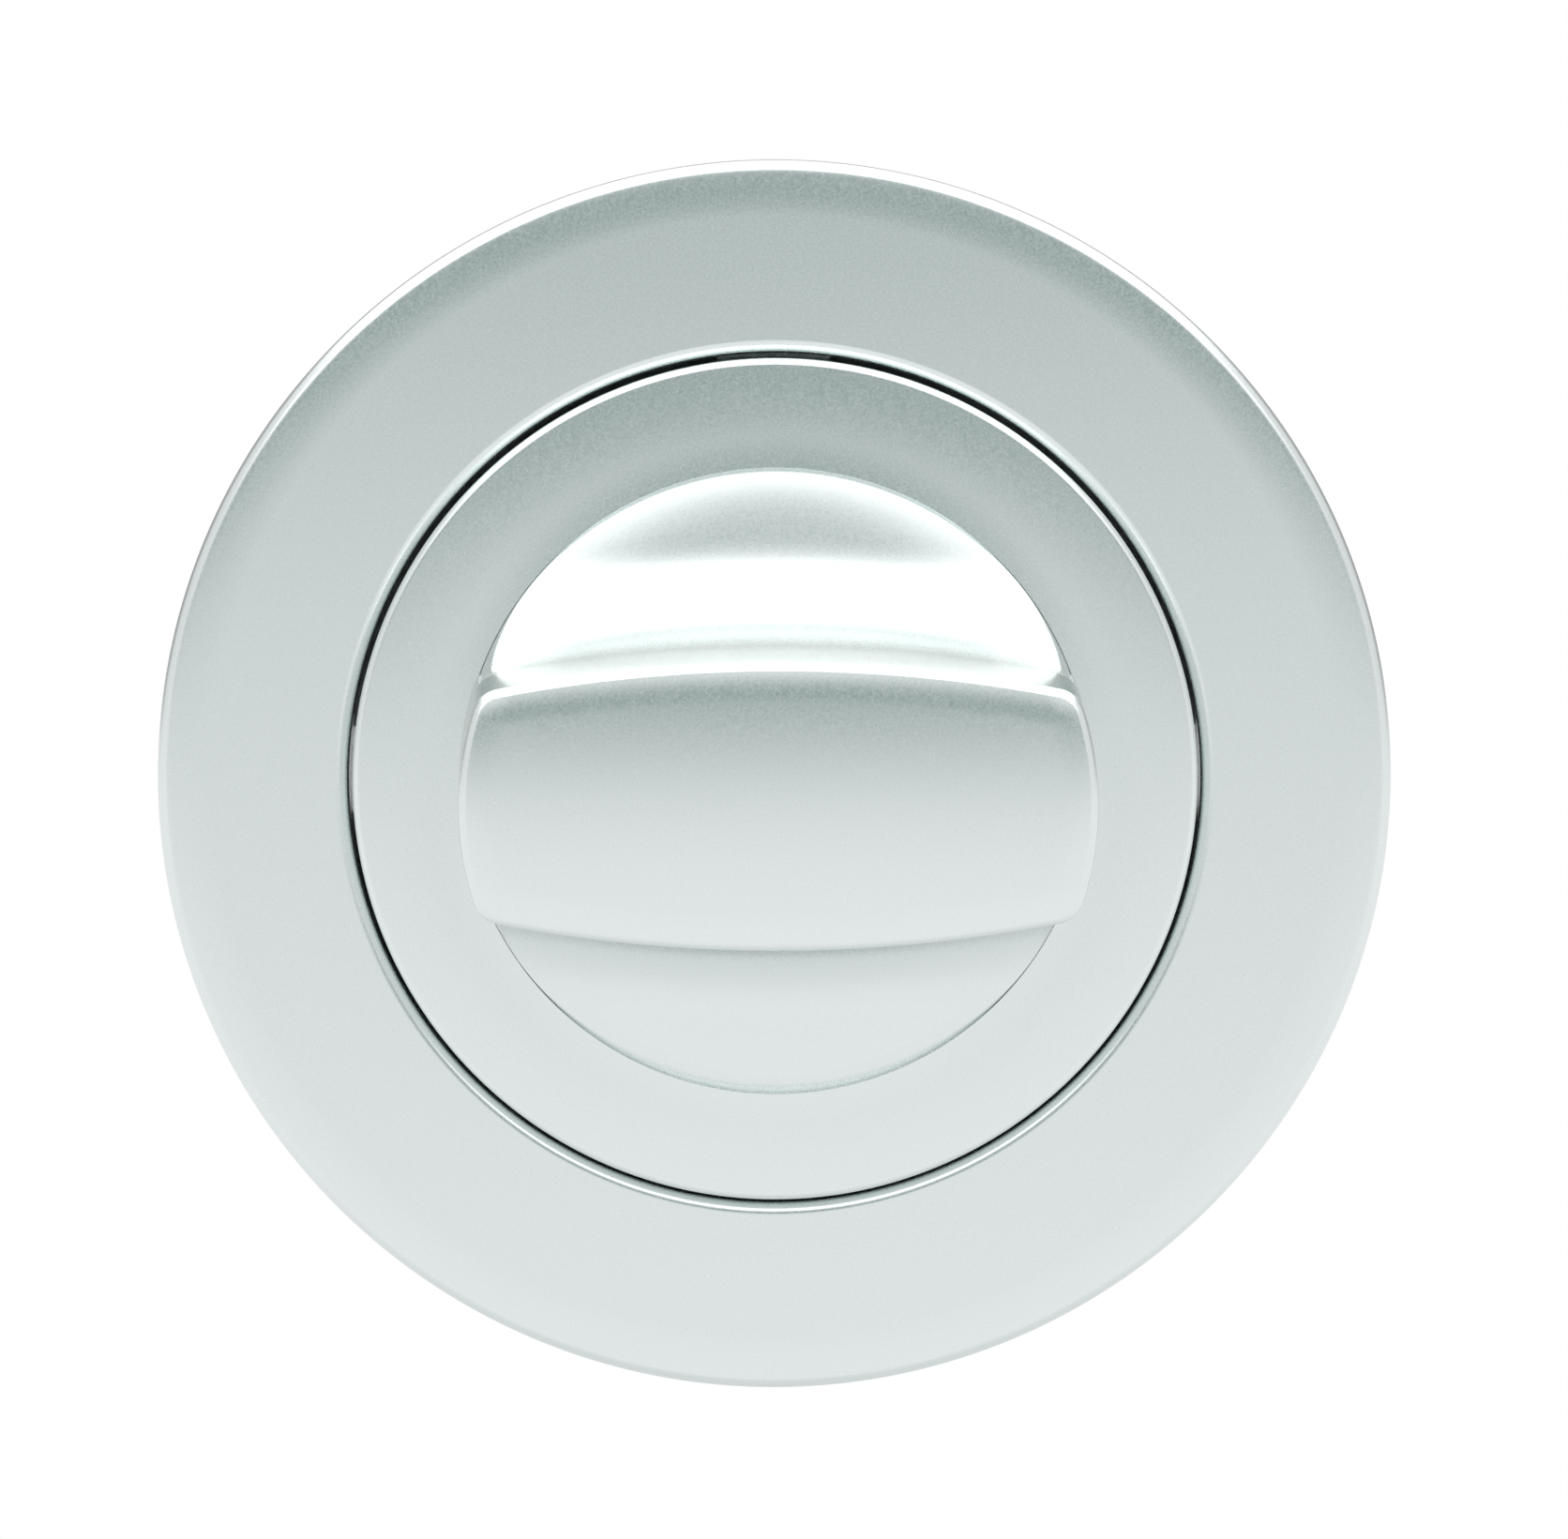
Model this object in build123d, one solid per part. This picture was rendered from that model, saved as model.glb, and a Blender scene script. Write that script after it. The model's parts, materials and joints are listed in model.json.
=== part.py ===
from build123d import *
import math
import os

os.makedirs("parts", exist_ok=True)

# Driving dimensions, in millimetres.
ROSE_DIA = 52.0
ROSE_DEPTH = 8.0
ROSE_WALL = 1.5
KNOB_DIA = 35.5
RING_WIDTH = 4.55
RIM_PROUD = 0.9
SCOOP_DEPTH = 0.7
SCOOP_SLOPE = 1.5
SCOOP_RADIUS = 3.9
BAR_WIDTH = 11.65
BAR_TALL = 11.0
BAR_SIDE_RADIUS = 60.0
STEM_DIA = 14.0
SPINDLE_SQUARE = 5.0
BOLT_DIA = 4.0
DOOR_THICK = 40.0

# Clearances.
RIM_GAP = 0.18
RUNNING_FIT = 0.05
SEAT_FIT = 0.02
PLATE_GAP = 0.25
SQUARE_GAP = 0.06
THREAD_GAP = 0.03
BEAD_GAP = 0.06
BLEND_SINK = 0.03

# Soft edges and crowns.
ROSE_EDGE = 0.5
ROSE_ROLL_WIDTH = 2.3
ROSE_ROLL_DROP = 0.1
HOLE_EDGE = 0.55
RIM_EDGE = 0.3
RING_DROP = 0.14
BAR_CORNER = 1.3
BAR_EDGE = 0.4
BAR_CROWN_ACROSS = 75.0
BAR_CROWN_ALONG = 400.0
BAR_DRAFT_DEG = 2.0

# Radii worked out from the driving dimensions.
ROSE_R = ROSE_DIA / 2
COVER_INNER_R = ROSE_R - ROSE_WALL
PLATE_R = COVER_INNER_R - PLATE_GAP
KNOB_R = KNOB_DIA / 2
HOLE_R = KNOB_R + RIM_GAP
RECESS_R = KNOB_R - RING_WIDTH
BAR_END_R = RECESS_R + 0.1
STEM_R = STEM_DIA / 2
GROOVE_R = STEM_R - 0.5
NECK_R = 0.785 * STEM_R
BUSH_R = STEM_R + 1.5
FLANGE_R = STEM_R + 4.0
POCKET_R = STEM_R + 3.2
BOLT_R = BOLT_DIA / 2
BOLT_HEAD_R = 1.5 * BOLT_R
SLEEVE_R = 1.3 * BOLT_R
COLLAR_R = SLEEVE_R + PLATE_GAP
SLEEVE_HEAD_R = 1.8 * BOLT_R
FIX_R = 19 / 26 * ROSE_R

# Heights above the door face, all shares of the rose's depth.
PLATE_T = 0.325 * ROSE_DEPTH
BEAD_Z = 0.19 * ROSE_DEPTH
BEAD_R = 0.05 * ROSE_DEPTH
CLIP_Z = 0.0625 * ROSE_DEPTH
CLIP_T = 0.125 * ROSE_DEPTH
SHIM_T = 0.0375 * ROSE_DEPTH
POCKET_T = PLATE_T
BOSS_TOP = 0.6 * ROSE_DEPTH
DISC_UNDER = 0.7 * ROSE_DEPTH
RIM_TOP = ROSE_DEPTH + RIM_PROUD
SCOOP_FLOOR = RIM_TOP - SCOOP_DEPTH
BAR_TOP = RIM_TOP + BAR_TALL
STEM_END = -0.05 * ROSE_DEPTH
BOLT_HEAD_T = 0.25 * ROSE_DEPTH
TURN_NECK_END = -0.225 * DOOR_THICK
RELEASE_NECK_END = -0.1 * DOOR_THICK
SQUARE_TOP = DISC_UNDER - 0.6
SPINDLE_END = SQUARE_TOP - 0.5
GRUB_Z = (STEM_END + TURN_NECK_END) / 2
GRUB_R = 0.3 * SPINDLE_SQUARE

# Pieces are drawn with +Z out of the door. The turn faces -Y and the release +Y.
TURN_SIDE = Rot(90, 0, 0)
RELEASE_SIDE = Rot(90, 0, 0) * Pos(0, 0, -DOOR_THICK) * Rot(180, 0, 0)


def turned(face):
    """Solid of revolution of a face drawn as (radius, height)."""
    return revolve(Plane.XZ * face, Axis.Z)


def outline(points):
    """Face inside a closed line through the points."""
    return make_face(Polyline(*points, close=True))


def corner(face, x, y):
    """Corner of a flat face that lies nearest to (x, y)."""
    return face.vertices().sort_by_distance((x, y, 0))[0]


def soft(face, x, y, radius):
    """Face with the corner nearest to (x, y) rounded."""
    return fillet(corner(face, x, y), radius)


def crown(r0, r1, top, drop):
    """Arc that starts level at (r0, top) and falls by drop out to r1; a negative drop rises."""
    wide = r1 - r0
    radius = (wide**2 + drop**2) / (2 * drop)
    half_turn = math.asin(wide / radius) / 2
    middle = (r0 + radius * math.sin(half_turn), top - radius * (1 - math.cos(half_turn)))
    return ThreePointArc((r0, top), middle, (r1, top - drop))


def tube(r_out, r_in, z0, z1):
    """Plain ring between two heights."""
    return turned(outline([(r_in, z0), (r_out, z0), (r_out, z1), (r_in, z1)]))


def rod(radius, z0, z1, x=0, y=0):
    """Plain round rod along Z."""
    return Pos(x, y, z0) * Cylinder(radius, z1 - z0, align=(Align.CENTER, Align.CENTER, Align.MIN))


def rose():
    """Drawn cover: flat face with a softly rolled edge, a large round hole and a snap bead inside."""
    roll_start = ROSE_R - ROSE_ROLL_WIDTH
    edge_z = ROSE_DEPTH - ROSE_ROLL_DROP
    inner_z = ROSE_DEPTH - ROSE_WALL
    face = make_face(
        [
            Line((HOLE_R, ROSE_DEPTH), (roll_start, ROSE_DEPTH)),
            crown(roll_start, ROSE_R, ROSE_DEPTH, ROSE_ROLL_DROP),
            Line((ROSE_R, edge_z), (ROSE_R, 0)),
            Line((ROSE_R, 0), (COVER_INNER_R, 0)),
            Line((COVER_INNER_R, 0), (COVER_INNER_R, inner_z)),
            Line((COVER_INNER_R, inner_z), (HOLE_R, inner_z)),
            Line((HOLE_R, inner_z), (HOLE_R, ROSE_DEPTH)),
        ]
    )
    face = soft(face, ROSE_R, edge_z, ROSE_EDGE)
    face = soft(face, HOLE_R, ROSE_DEPTH, HOLE_EDGE)
    face = soft(face, ROSE_R, 0, 0.25)
    bead = Pos(COVER_INNER_R, BEAD_Z) * Circle(BEAD_R)
    return turned(face + bead)


def backplate(hole_r):
    """Cast plate screwed to the door, with the bearing boss, the clip pocket and the snap groove."""
    bore_r = BUSH_R + SEAT_FIT
    face = outline(
        [
            (POCKET_R, 0),
            (PLATE_R, 0),
            (PLATE_R, PLATE_T),
            (FLANGE_R, PLATE_T),
            (FLANGE_R, BOSS_TOP),
            (bore_r, BOSS_TOP),
            (bore_r, POCKET_T),
            (POCKET_R, POCKET_T),
        ]
    )
    face = face - Pos(COVER_INNER_R, BEAD_Z) * Circle(BEAD_R + BEAD_GAP)
    plate = turned(face)
    for sign in (-1, 1):
        plate -= rod(hole_r, -1, PLATE_T + 1, y=sign * FIX_R)
        plate -= rod(BOLT_R + 0.1, -1, PLATE_T + 1, x=sign * FIX_R)
    return plate


def bush():
    """Flanged plain bearing, pressed into the boss."""
    inner = STEM_R + RUNNING_FIT
    face = outline(
        [
            (inner, POCKET_T),
            (BUSH_R, POCKET_T),
            (BUSH_R, BOSS_TOP),
            (FLANGE_R, BOSS_TOP),
            (FLANGE_R, DISC_UNDER),
            (inner, DISC_UNDER),
        ]
    )
    return turned(face)


def spring_washer():
    """Coned disc spring between the shim and the roof of the pocket."""
    low = CLIP_Z + CLIP_T + SHIM_T
    thick = 0.05 * ROSE_DEPTH
    r_in = STEM_R + 0.3
    r_out = POCKET_R - 0.4
    return turned(
        outline([(r_in, low), (r_in, low + thick), (r_out, POCKET_T), (r_out, POCKET_T - thick)])
    )


def shim_washer():
    """Flat washer that lies on the clip."""
    low = CLIP_Z + CLIP_T
    return tube(POCKET_R - 0.5, STEM_R + 0.1, low, low + SHIM_T)


def circlip():
    """Open spring ring with two eyes, seated in the stem's groove."""
    wide = STEM_R + 1.6
    ring = Circle(wide) - Circle(GROOVE_R + SEAT_FIT)
    gap_half = math.radians(20)
    far = 2 * wide
    ring -= make_face(
        Polyline(
            (0, 0),
            (-far * math.sin(gap_half), -far * math.cos(gap_half)),
            (far * math.sin(gap_half), -far * math.cos(gap_half)),
            close=True,
        )
    )
    eye_a = gap_half + 0.14
    eye_r = STEM_R + 1.4
    for sign in (-1, 1):
        ring += Pos(sign * eye_r * math.sin(eye_a), -eye_r * math.cos(eye_a)) * Circle(1.3)
    ring -= Circle(GROOVE_R + SEAT_FIT)
    for sign in (-1, 1):
        ring -= Pos(sign * eye_r * math.sin(eye_a), -eye_r * math.cos(eye_a)) * Circle(0.6)
    return Pos(0, 0, CLIP_Z) * extrude(ring, CLIP_T)


def stem(neck_end):
    """Bearing stem with the clip groove, and a slimmer neck that reaches into the door."""
    slack = 0.03
    face = outline(
        [
            (0, DISC_UNDER + 0.5),
            (STEM_R, DISC_UNDER + 0.5),
            (STEM_R, CLIP_Z + CLIP_T),
            (GROOVE_R, CLIP_Z + CLIP_T),
            (GROOVE_R, CLIP_Z - slack),
            (STEM_R, CLIP_Z - slack),
            (STEM_R, STEM_END),
            (NECK_R, STEM_END),
            (NECK_R, neck_end),
            (0, neck_end),
        ]
    )
    face = soft(face, STEM_R, STEM_END, 0.25)
    face = soft(face, NECK_R, neck_end, 0.4)
    return turned(face)


def square_hole(neck_end):
    """Square socket for the spindle, open towards the door."""
    side = SPINDLE_SQUARE + 2 * SQUARE_GAP
    low = neck_end - 1
    return Pos(0, 0, low) * Box(side, side, SQUARE_TOP - low, align=(Align.CENTER, Align.CENTER, Align.MIN))


def rim_disc():
    """Disc with a soft rim and a crowned ring, dished inside the ring down to the scoops' floor."""
    edge_z = RIM_TOP - RING_DROP
    floor_r = RECESS_R - SCOOP_SLOPE
    face = make_face(
        [
            Line((0, DISC_UNDER), (KNOB_R, DISC_UNDER)),
            Line((KNOB_R, DISC_UNDER), (KNOB_R, edge_z)),
            crown(RECESS_R, KNOB_R, RIM_TOP, RING_DROP),
            crown(floor_r, RECESS_R, SCOOP_FLOOR, -SCOOP_DEPTH),
            Line((floor_r, SCOOP_FLOOR), (0, SCOOP_FLOOR)),
            Line((0, SCOOP_FLOOR), (0, DISC_UNDER)),
        ]
    )
    face = soft(face, KNOB_R, edge_z, RIM_EDGE)
    face = soft(face, KNOB_R, DISC_UNDER, 0.3)
    return turned(face)


def bar_half_foot():
    """Half width of the bar at the scoops' floor, where its draft has made it widest."""
    return BAR_WIDTH / 2 + math.tan(math.radians(BAR_DRAFT_DEG)) * (BAR_TOP - SCOOP_FLOOR)


def drafted(radius, y):
    """Round post about an upright axis at y, leaning in by the draft; radius is that at the scoops' floor."""
    lean = math.tan(math.radians(BAR_DRAFT_DEG))
    root = 0.5 * (SCOOP_FLOOR - DISC_UNDER)
    tall = BAR_TOP - SCOOP_FLOOR + 1
    centred = (Align.CENTER, Align.CENTER, Align.MIN)
    post = Cone(radius + root * lean, radius - tall * lean, root + tall, align=centred)
    return Pos(0, y, SCOOP_FLOOR - root) * post


def crowned_block():
    """Block whose top is gently crowned both across and along the bar."""
    wide = BAR_WIDTH
    sag = wide**2 / (2 * BAR_CROWN_ACROSS)
    face = make_face(
        [
            Line((-wide, SCOOP_FLOOR - 1), (wide, SCOOP_FLOOR - 1)),
            Line((wide, SCOOP_FLOOR - 1), (wide, BAR_TOP - sag)),
            ThreePointArc((wide, BAR_TOP - sag), (0, BAR_TOP), (-wide, BAR_TOP - sag)),
            Line((-wide, BAR_TOP - sag), (-wide, SCOOP_FLOOR - 1)),
        ]
    )
    axis = Axis((0, 0, BAR_TOP - BAR_CROWN_ALONG), (0, 1, 0))
    arc_deg = 2 * math.degrees(math.asin((RECESS_R + 3) / BAR_CROWN_ALONG))
    return revolve(Plane.YZ * face, axis, revolution_arc=arc_deg).rotate(axis, -arc_deg / 2)


def bar():
    """Grip bar: barrel-shaped plan, drafted walls and a domed top with soft edges."""
    offset = BAR_SIDE_RADIUS - bar_half_foot()
    solid = drafted(BAR_END_R, 0) & drafted(BAR_SIDE_RADIUS, offset)
    solid = solid & drafted(BAR_SIDE_RADIUS, -offset)
    upright = solid.edges().filter_by(lambda e: abs(e.tangent_at(0.5).Z) > 0.9)
    solid = fillet(upright, BAR_CORNER) & crowned_block()
    top = solid.faces().sort_by(Axis.Z)[-1]
    return fillet(top.edges(), BAR_EDGE)


def scoop_blend():
    """Hollow that sweeps up one side of the bar along its curve, cut off in line with the bar's ends."""
    lean = math.radians(BAR_DRAFT_DEG)
    root = 0.4 * (SCOOP_FLOOR - DISC_UNDER)
    foot = bar_half_foot() - BLEND_SINK
    centre = foot + SCOOP_RADIUS * (1 - math.sin(lean)) / math.cos(lean)
    top_y = centre - SCOOP_RADIUS * math.cos(lean)
    top_z = SCOOP_FLOOR + SCOOP_RADIUS * (1 - math.sin(lean))
    face = make_face(
        [
            Line((foot - root, SCOOP_FLOOR - root), (centre, SCOOP_FLOOR - root)),
            Line((centre, SCOOP_FLOOR - root), (centre, SCOOP_FLOOR)),
            RadiusArc((centre, SCOOP_FLOOR), (top_y, top_z), SCOOP_RADIUS),
            Line((top_y, top_z), (foot - root, top_z + 2 * root)),
            Line((foot - root, top_z + 2 * root), (foot - root, SCOOP_FLOOR - root)),
        ]
    )
    axis = Axis((0, bar_half_foot() - BAR_SIDE_RADIUS, 0), (0, 0, 1))
    sweep_deg = 2 * math.degrees(math.asin((RECESS_R + 1) / BAR_SIDE_RADIUS))
    band = revolve(Plane.YZ * face, axis, revolution_arc=sweep_deg).rotate(axis, -sweep_deg / 2)
    return band & drafted(BAR_END_R, 0)


def knob():
    """Turn: rim disc, finger scoops, grip bar, stem, spindle socket and grub screw hole in one casting."""
    body = rim_disc() + bar()
    for turn_deg in (0, 180):
        body += Rot(0, 0, turn_deg) * scoop_blend()
    body += stem(TURN_NECK_END)
    body -= square_hole(TURN_NECK_END)
    body -= Pos(0, 0, GRUB_Z) * Rot(0, 90, 0) * rod(GRUB_R + THREAD_GAP, 0, NECK_R + 1)
    return body


def release_disc():
    """Outside release: the same rim and stem with a plain face and a coin slot across it."""
    edge_z = RIM_TOP - RING_DROP
    face = make_face(
        [
            Line((0, DISC_UNDER), (KNOB_R, DISC_UNDER)),
            Line((KNOB_R, DISC_UNDER), (KNOB_R, edge_z)),
            crown(RECESS_R, KNOB_R, RIM_TOP, RING_DROP),
            Line((RECESS_R, RIM_TOP), (0, RIM_TOP)),
            Line((0, RIM_TOP), (0, DISC_UNDER)),
        ]
    )
    face = soft(face, KNOB_R, edge_z, RIM_EDGE)
    face = soft(face, KNOB_R, DISC_UNDER, 0.3)
    body = turned(face) + stem(RELEASE_NECK_END)
    body -= square_hole(RELEASE_NECK_END)
    slot_long = 1.1 * RECESS_R
    slot_deep = 0.7 * (RIM_TOP - DISC_UNDER)
    slot = SlotOverall(slot_long, 2.2)
    body -= Pos(0, 0, RIM_TOP - slot_deep) * extrude(slot, slot_deep + 1)
    lip = [e for e in body.edges() if abs(e.center().Z - RIM_TOP) < 1e-6 and abs(e.center().Y) < 2]
    lip = [e for e in lip if e.bounding_box().size.X < slot_long]
    return chamfer(lip, 0.35)


def spindle():
    """Square bar that carries the turn through the lock to the release."""
    low = -DOOR_THICK - SPINDLE_END
    bar_solid = Pos(0, 0, low) * Box(
        SPINDLE_SQUARE,
        SPINDLE_SQUARE,
        SPINDLE_END - low,
        align=(Align.CENTER, Align.CENTER, Align.MIN),
    )
    ends = bar_solid.faces().sort_by(Axis.Z)
    return chamfer(ends[0].edges() + ends[-1].edges(), 0.08 * SPINDLE_SQUARE)


def grub_screw():
    """Headless screw that clamps the spindle in the turn's neck."""
    tip = SPINDLE_SQUARE / 2
    tail = NECK_R - 0.25
    screw = rod(GRUB_R, tip, tail)
    screw = chamfer(screw.edges().filter_by(GeomType.CIRCLE), 0.25 * GRUB_R)
    deep = 0.45 * (tail - tip)
    socket = extrude(RegularPolygon(0.55 * GRUB_R, 6), deep + 1)
    screw -= Pos(0, 0, tail - deep) * socket
    return Pos(0, 0, GRUB_Z) * Rot(0, 90, 0) * screw


def fixing_bolts():
    """Two slotted bolts that pass through the door from the turn's plate."""
    tip = -0.5 * DOOR_THICK
    head_top = PLATE_T + BOLT_HEAD_T
    face = outline(
        [
            (0, tip),
            (BOLT_R, tip),
            (BOLT_R, PLATE_T),
            (BOLT_HEAD_R, PLATE_T),
            (BOLT_HEAD_R, head_top),
            (0, head_top),
        ]
    )
    face = soft(face, BOLT_HEAD_R, head_top, 0.2 * BOLT_HEAD_T)
    face = chamfer(corner(face, BOLT_R, tip), 0.2 * BOLT_R)
    one = turned(face)
    one -= Pos(0, 0, head_top) * Box(3 * BOLT_HEAD_R, 0.3 * BOLT_HEAD_R, BOLT_HEAD_T)
    return Compound([Pos(0, sign * FIX_R, 0) * one for sign in (-1, 1)])


def fixing_sleeves():
    """Two threaded sleeves put in from the release's plate; a collar fills the plate's hole."""
    tip = -0.85 * DOOR_THICK
    head_top = PLATE_T + 0.8 * BOLT_HEAD_T
    bore = BOLT_R + THREAD_GAP
    bore_end = -0.45 * DOOR_THICK
    face = outline(
        [
            (bore, tip),
            (SLEEVE_R, tip),
            (SLEEVE_R, 0),
            (COLLAR_R, 0),
            (COLLAR_R, PLATE_T),
            (SLEEVE_HEAD_R, PLATE_T),
            (SLEEVE_HEAD_R, head_top),
            (0, head_top),
            (0, bore_end),
            (bore, bore_end),
        ]
    )
    face = soft(face, SLEEVE_HEAD_R, head_top, 0.2 * BOLT_HEAD_T)
    one = turned(face)
    one -= Pos(0, 0, head_top) * Box(3 * SLEEVE_HEAD_R, 0.3 * BOLT_HEAD_R, BOLT_HEAD_T)
    return Compound([Pos(0, sign * FIX_R, 0) * one for sign in (-1, 1)])


pieces = {
    "turn_rose": TURN_SIDE * rose(),
    "turn_backplate": TURN_SIDE * backplate(BOLT_R + 0.15),
    "turn_bush": TURN_SIDE * bush(),
    "turn_spring_washer": TURN_SIDE * spring_washer(),
    "turn_shim_washer": TURN_SIDE * shim_washer(),
    "turn_circlip": TURN_SIDE * circlip(),
    "turn_knob": TURN_SIDE * knob(),
    "grub_screw": TURN_SIDE * grub_screw(),
    "spindle": TURN_SIDE * spindle(),
    "fixing_bolts": TURN_SIDE * fixing_bolts(),
    "fixing_sleeves": RELEASE_SIDE * fixing_sleeves(),
    "release_rose": RELEASE_SIDE * rose(),
    "release_backplate": RELEASE_SIDE * backplate(COLLAR_R + 0.1),
    "release_bush": RELEASE_SIDE * bush(),
    "release_spring_washer": RELEASE_SIDE * spring_washer(),
    "release_shim_washer": RELEASE_SIDE * shim_washer(),
    "release_circlip": RELEASE_SIDE * circlip(),
    "release_disc": RELEASE_SIDE * release_disc(),
}

for name, shape in pieces.items():
    export_step(shape, f"parts/{name}.step")
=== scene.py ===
# %% [markdown]
# # A satin chrome thumb turn and release
# A bathroom door carries this set: a thumb turn inside, a coin release outside, and one square spindle
# between them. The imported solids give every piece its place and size. This lesson dresses them. It
# draws the satin pieces again as fine surfaces, gives each metal its finish, and sets up a small
# studio: a white table, a softbox in front and a broad light overhead.

# %% load the frame
import json
import math

import bmesh
import bpy
import numpy as np
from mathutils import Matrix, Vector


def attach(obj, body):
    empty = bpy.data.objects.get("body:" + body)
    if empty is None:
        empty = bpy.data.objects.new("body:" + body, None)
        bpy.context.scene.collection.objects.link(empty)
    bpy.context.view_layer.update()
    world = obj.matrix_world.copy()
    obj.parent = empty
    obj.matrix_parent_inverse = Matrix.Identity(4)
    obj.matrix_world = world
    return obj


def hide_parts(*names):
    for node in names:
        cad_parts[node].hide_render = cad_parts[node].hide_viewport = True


MM = 1e-3

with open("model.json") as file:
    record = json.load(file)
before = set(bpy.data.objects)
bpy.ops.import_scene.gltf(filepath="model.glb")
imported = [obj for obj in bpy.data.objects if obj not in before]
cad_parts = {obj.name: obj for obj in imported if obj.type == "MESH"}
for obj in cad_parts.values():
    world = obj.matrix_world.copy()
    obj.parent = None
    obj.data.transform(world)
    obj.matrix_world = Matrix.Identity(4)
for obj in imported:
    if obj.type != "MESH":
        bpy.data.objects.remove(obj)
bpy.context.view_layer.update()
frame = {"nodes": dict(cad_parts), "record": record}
nodes = frame["nodes"]

# %% [markdown]
# ## From a grid of points to a mesh
# A turned or cast piece can be cut from cylinders with booleans, but then its soft edges are hard to
# control. Here each surface is a grid instead: a column is the section of the piece, and the columns
# stand side by side all the way round. The section carries close points where an edge begins, so the
# light breaks exactly there and flat faces stay flat.

# %% grids
DOOR_THICK = 40.0


def on_turn_side(p):
    """Local (x, y, out of the door) in mm to the shared frame in metres, on the inside of the door."""
    return np.stack([p[..., 0], -p[..., 2], p[..., 1]], -1) * MM


def on_release_side(p):
    """The same on the outside of the door: half a turn about X, then out by the door's thickness."""
    return np.stack([p[..., 0], DOOR_THICK + p[..., 2], -p[..., 1]], -1) * MM


def quads(columns, rows):
    """Corner numbers of a grid's quads, (columns, rows - 1, 4), where the last column meets the first."""
    i = np.arange(columns)[:, None]
    j = np.arange(rows - 1)[None, :]
    here = i * rows + j
    beside = (i + 1) % columns * rows + j
    return np.stack([here, beside, beside + 1, here + 1], -1)


def sheet_of(grid):
    """A (columns, rows, 3) grid as a list of points and a list of quads."""
    return grid.reshape(-1, 3), quads(*grid.shape[:2]).reshape(-1, 4)


print("a grid of 4 columns and 3 rows has", quads(4, 3).reshape(-1, 4).shape[0], "quads")

# %% [markdown]
# A mesh can be given its faces one by one, but whole arrays are quicker and leave no loop to get wrong.
# Where rows close to a point or sheets meet, points lie on each other and are merged. A closed piece
# then has two faces at every edge, and the count of open edges shows whether that came out.

# %% meshes
MERGE_WITHIN, TOO_SHORT, SHARP_FROM = 4e-7, 1e-7, math.radians(32)


def make_piece(name, sheets, body, slot, *replaced):
    """One object from sheets of points in metres and quads, on its body and in place of its solid.

    Points that meet are merged, faces turn outwards, and edges that bend a lot stay sharp.
    """
    counts = np.cumsum([0] + [len(p) for p, _ in sheets])
    points = np.concatenate([p for p, _ in sheets])
    faces = np.concatenate([q + n for (_, q), n in zip(sheets, counts)])
    mesh = bpy.data.meshes.new(name)
    mesh.vertices.add(len(points))
    mesh.vertices.foreach_set("co", points.ravel().astype(np.float32))
    mesh.loops.add(faces.size)
    mesh.loops.foreach_set("vertex_index", faces.ravel().astype(np.int32))
    mesh.polygons.add(len(faces))
    mesh.polygons.foreach_set("loop_start", np.arange(0, faces.size, 4, dtype=np.int32))
    mesh.update(calc_edges=True)
    work = bmesh.new()
    work.from_mesh(mesh)
    bmesh.ops.remove_doubles(work, verts=work.verts, dist=MERGE_WITHIN)
    bmesh.ops.dissolve_degenerate(work, dist=TOO_SHORT, edges=work.edges)
    bmesh.ops.recalc_face_normals(work, faces=work.faces)
    open_edges = sum(1 for e in work.edges if len(e.link_faces) != 2)
    volume = work.calc_volume(signed=True)
    work.to_mesh(mesh)
    work.free()
    mesh.polygons.foreach_set("use_smooth", np.ones(len(mesh.polygons), dtype=bool))
    mesh.set_sharp_from_angle(angle=SHARP_FROM)
    obj = bpy.data.objects.new(name, mesh)
    bpy.context.scene.collection.objects.link(obj)
    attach(obj, body)
    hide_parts(*replaced)
    print(f"{name}: {len(mesh.polygons)} faces, {open_edges} open edges, {volume / MM**3:.0f} mm3")
    return obj


# %% [markdown]
# ## Sections
# A section is a line of (radius, height) points made of straight stretches and arcs. Angles count from
# straight out of the door towards a larger radius, so an outer edge that is rounded from the face to
# the wall runs from 0 to 90 degrees.

# %% sections
def arc(r, z, radius, start, stop, count):
    """Points on a circle about (r, z) between two angles in degrees."""
    a = np.radians(np.linspace(start, stop, count))
    return np.stack([r + radius * np.sin(a), z + radius * np.cos(a)], -1)


def run(start, stop, count=3, close=0.03):
    """Straight stretch with an extra point close to each end, which keeps the shading of the flat flat."""
    start, stop = np.array(start, float), np.array(stop, float)
    margin = min(close / np.linalg.norm(stop - start), 0.2)
    t = np.concatenate([[0], np.linspace(margin, 1 - margin, count), [1]])[:, None]
    return start + (stop - start) * t


def section(*stretches):
    """The stretches joined into one line, without points that repeat."""
    p = np.concatenate(stretches)
    keep = np.r_[True, np.linalg.norm(np.diff(p, axis=0), axis=1) > 1e-6]
    return p[keep]


def lathe(profile, turn):
    """The section carried round the axis: radius and angle become x and y, height stays."""
    r, z = profile[None, :, 0], profile[None, :, 1]
    a = turn[:, None]
    return np.stack([r * np.cos(a), r * np.sin(a), z + 0 * a], -1)


def evenly(columns):
    """Angles of evenly spaced columns all the way round."""
    return np.linspace(0, 2 * np.pi, columns, endpoint=False)


print("a straight stretch of 1 mm has points at", run((0, 0), (1, 0))[:, 0].round(2))

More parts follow.
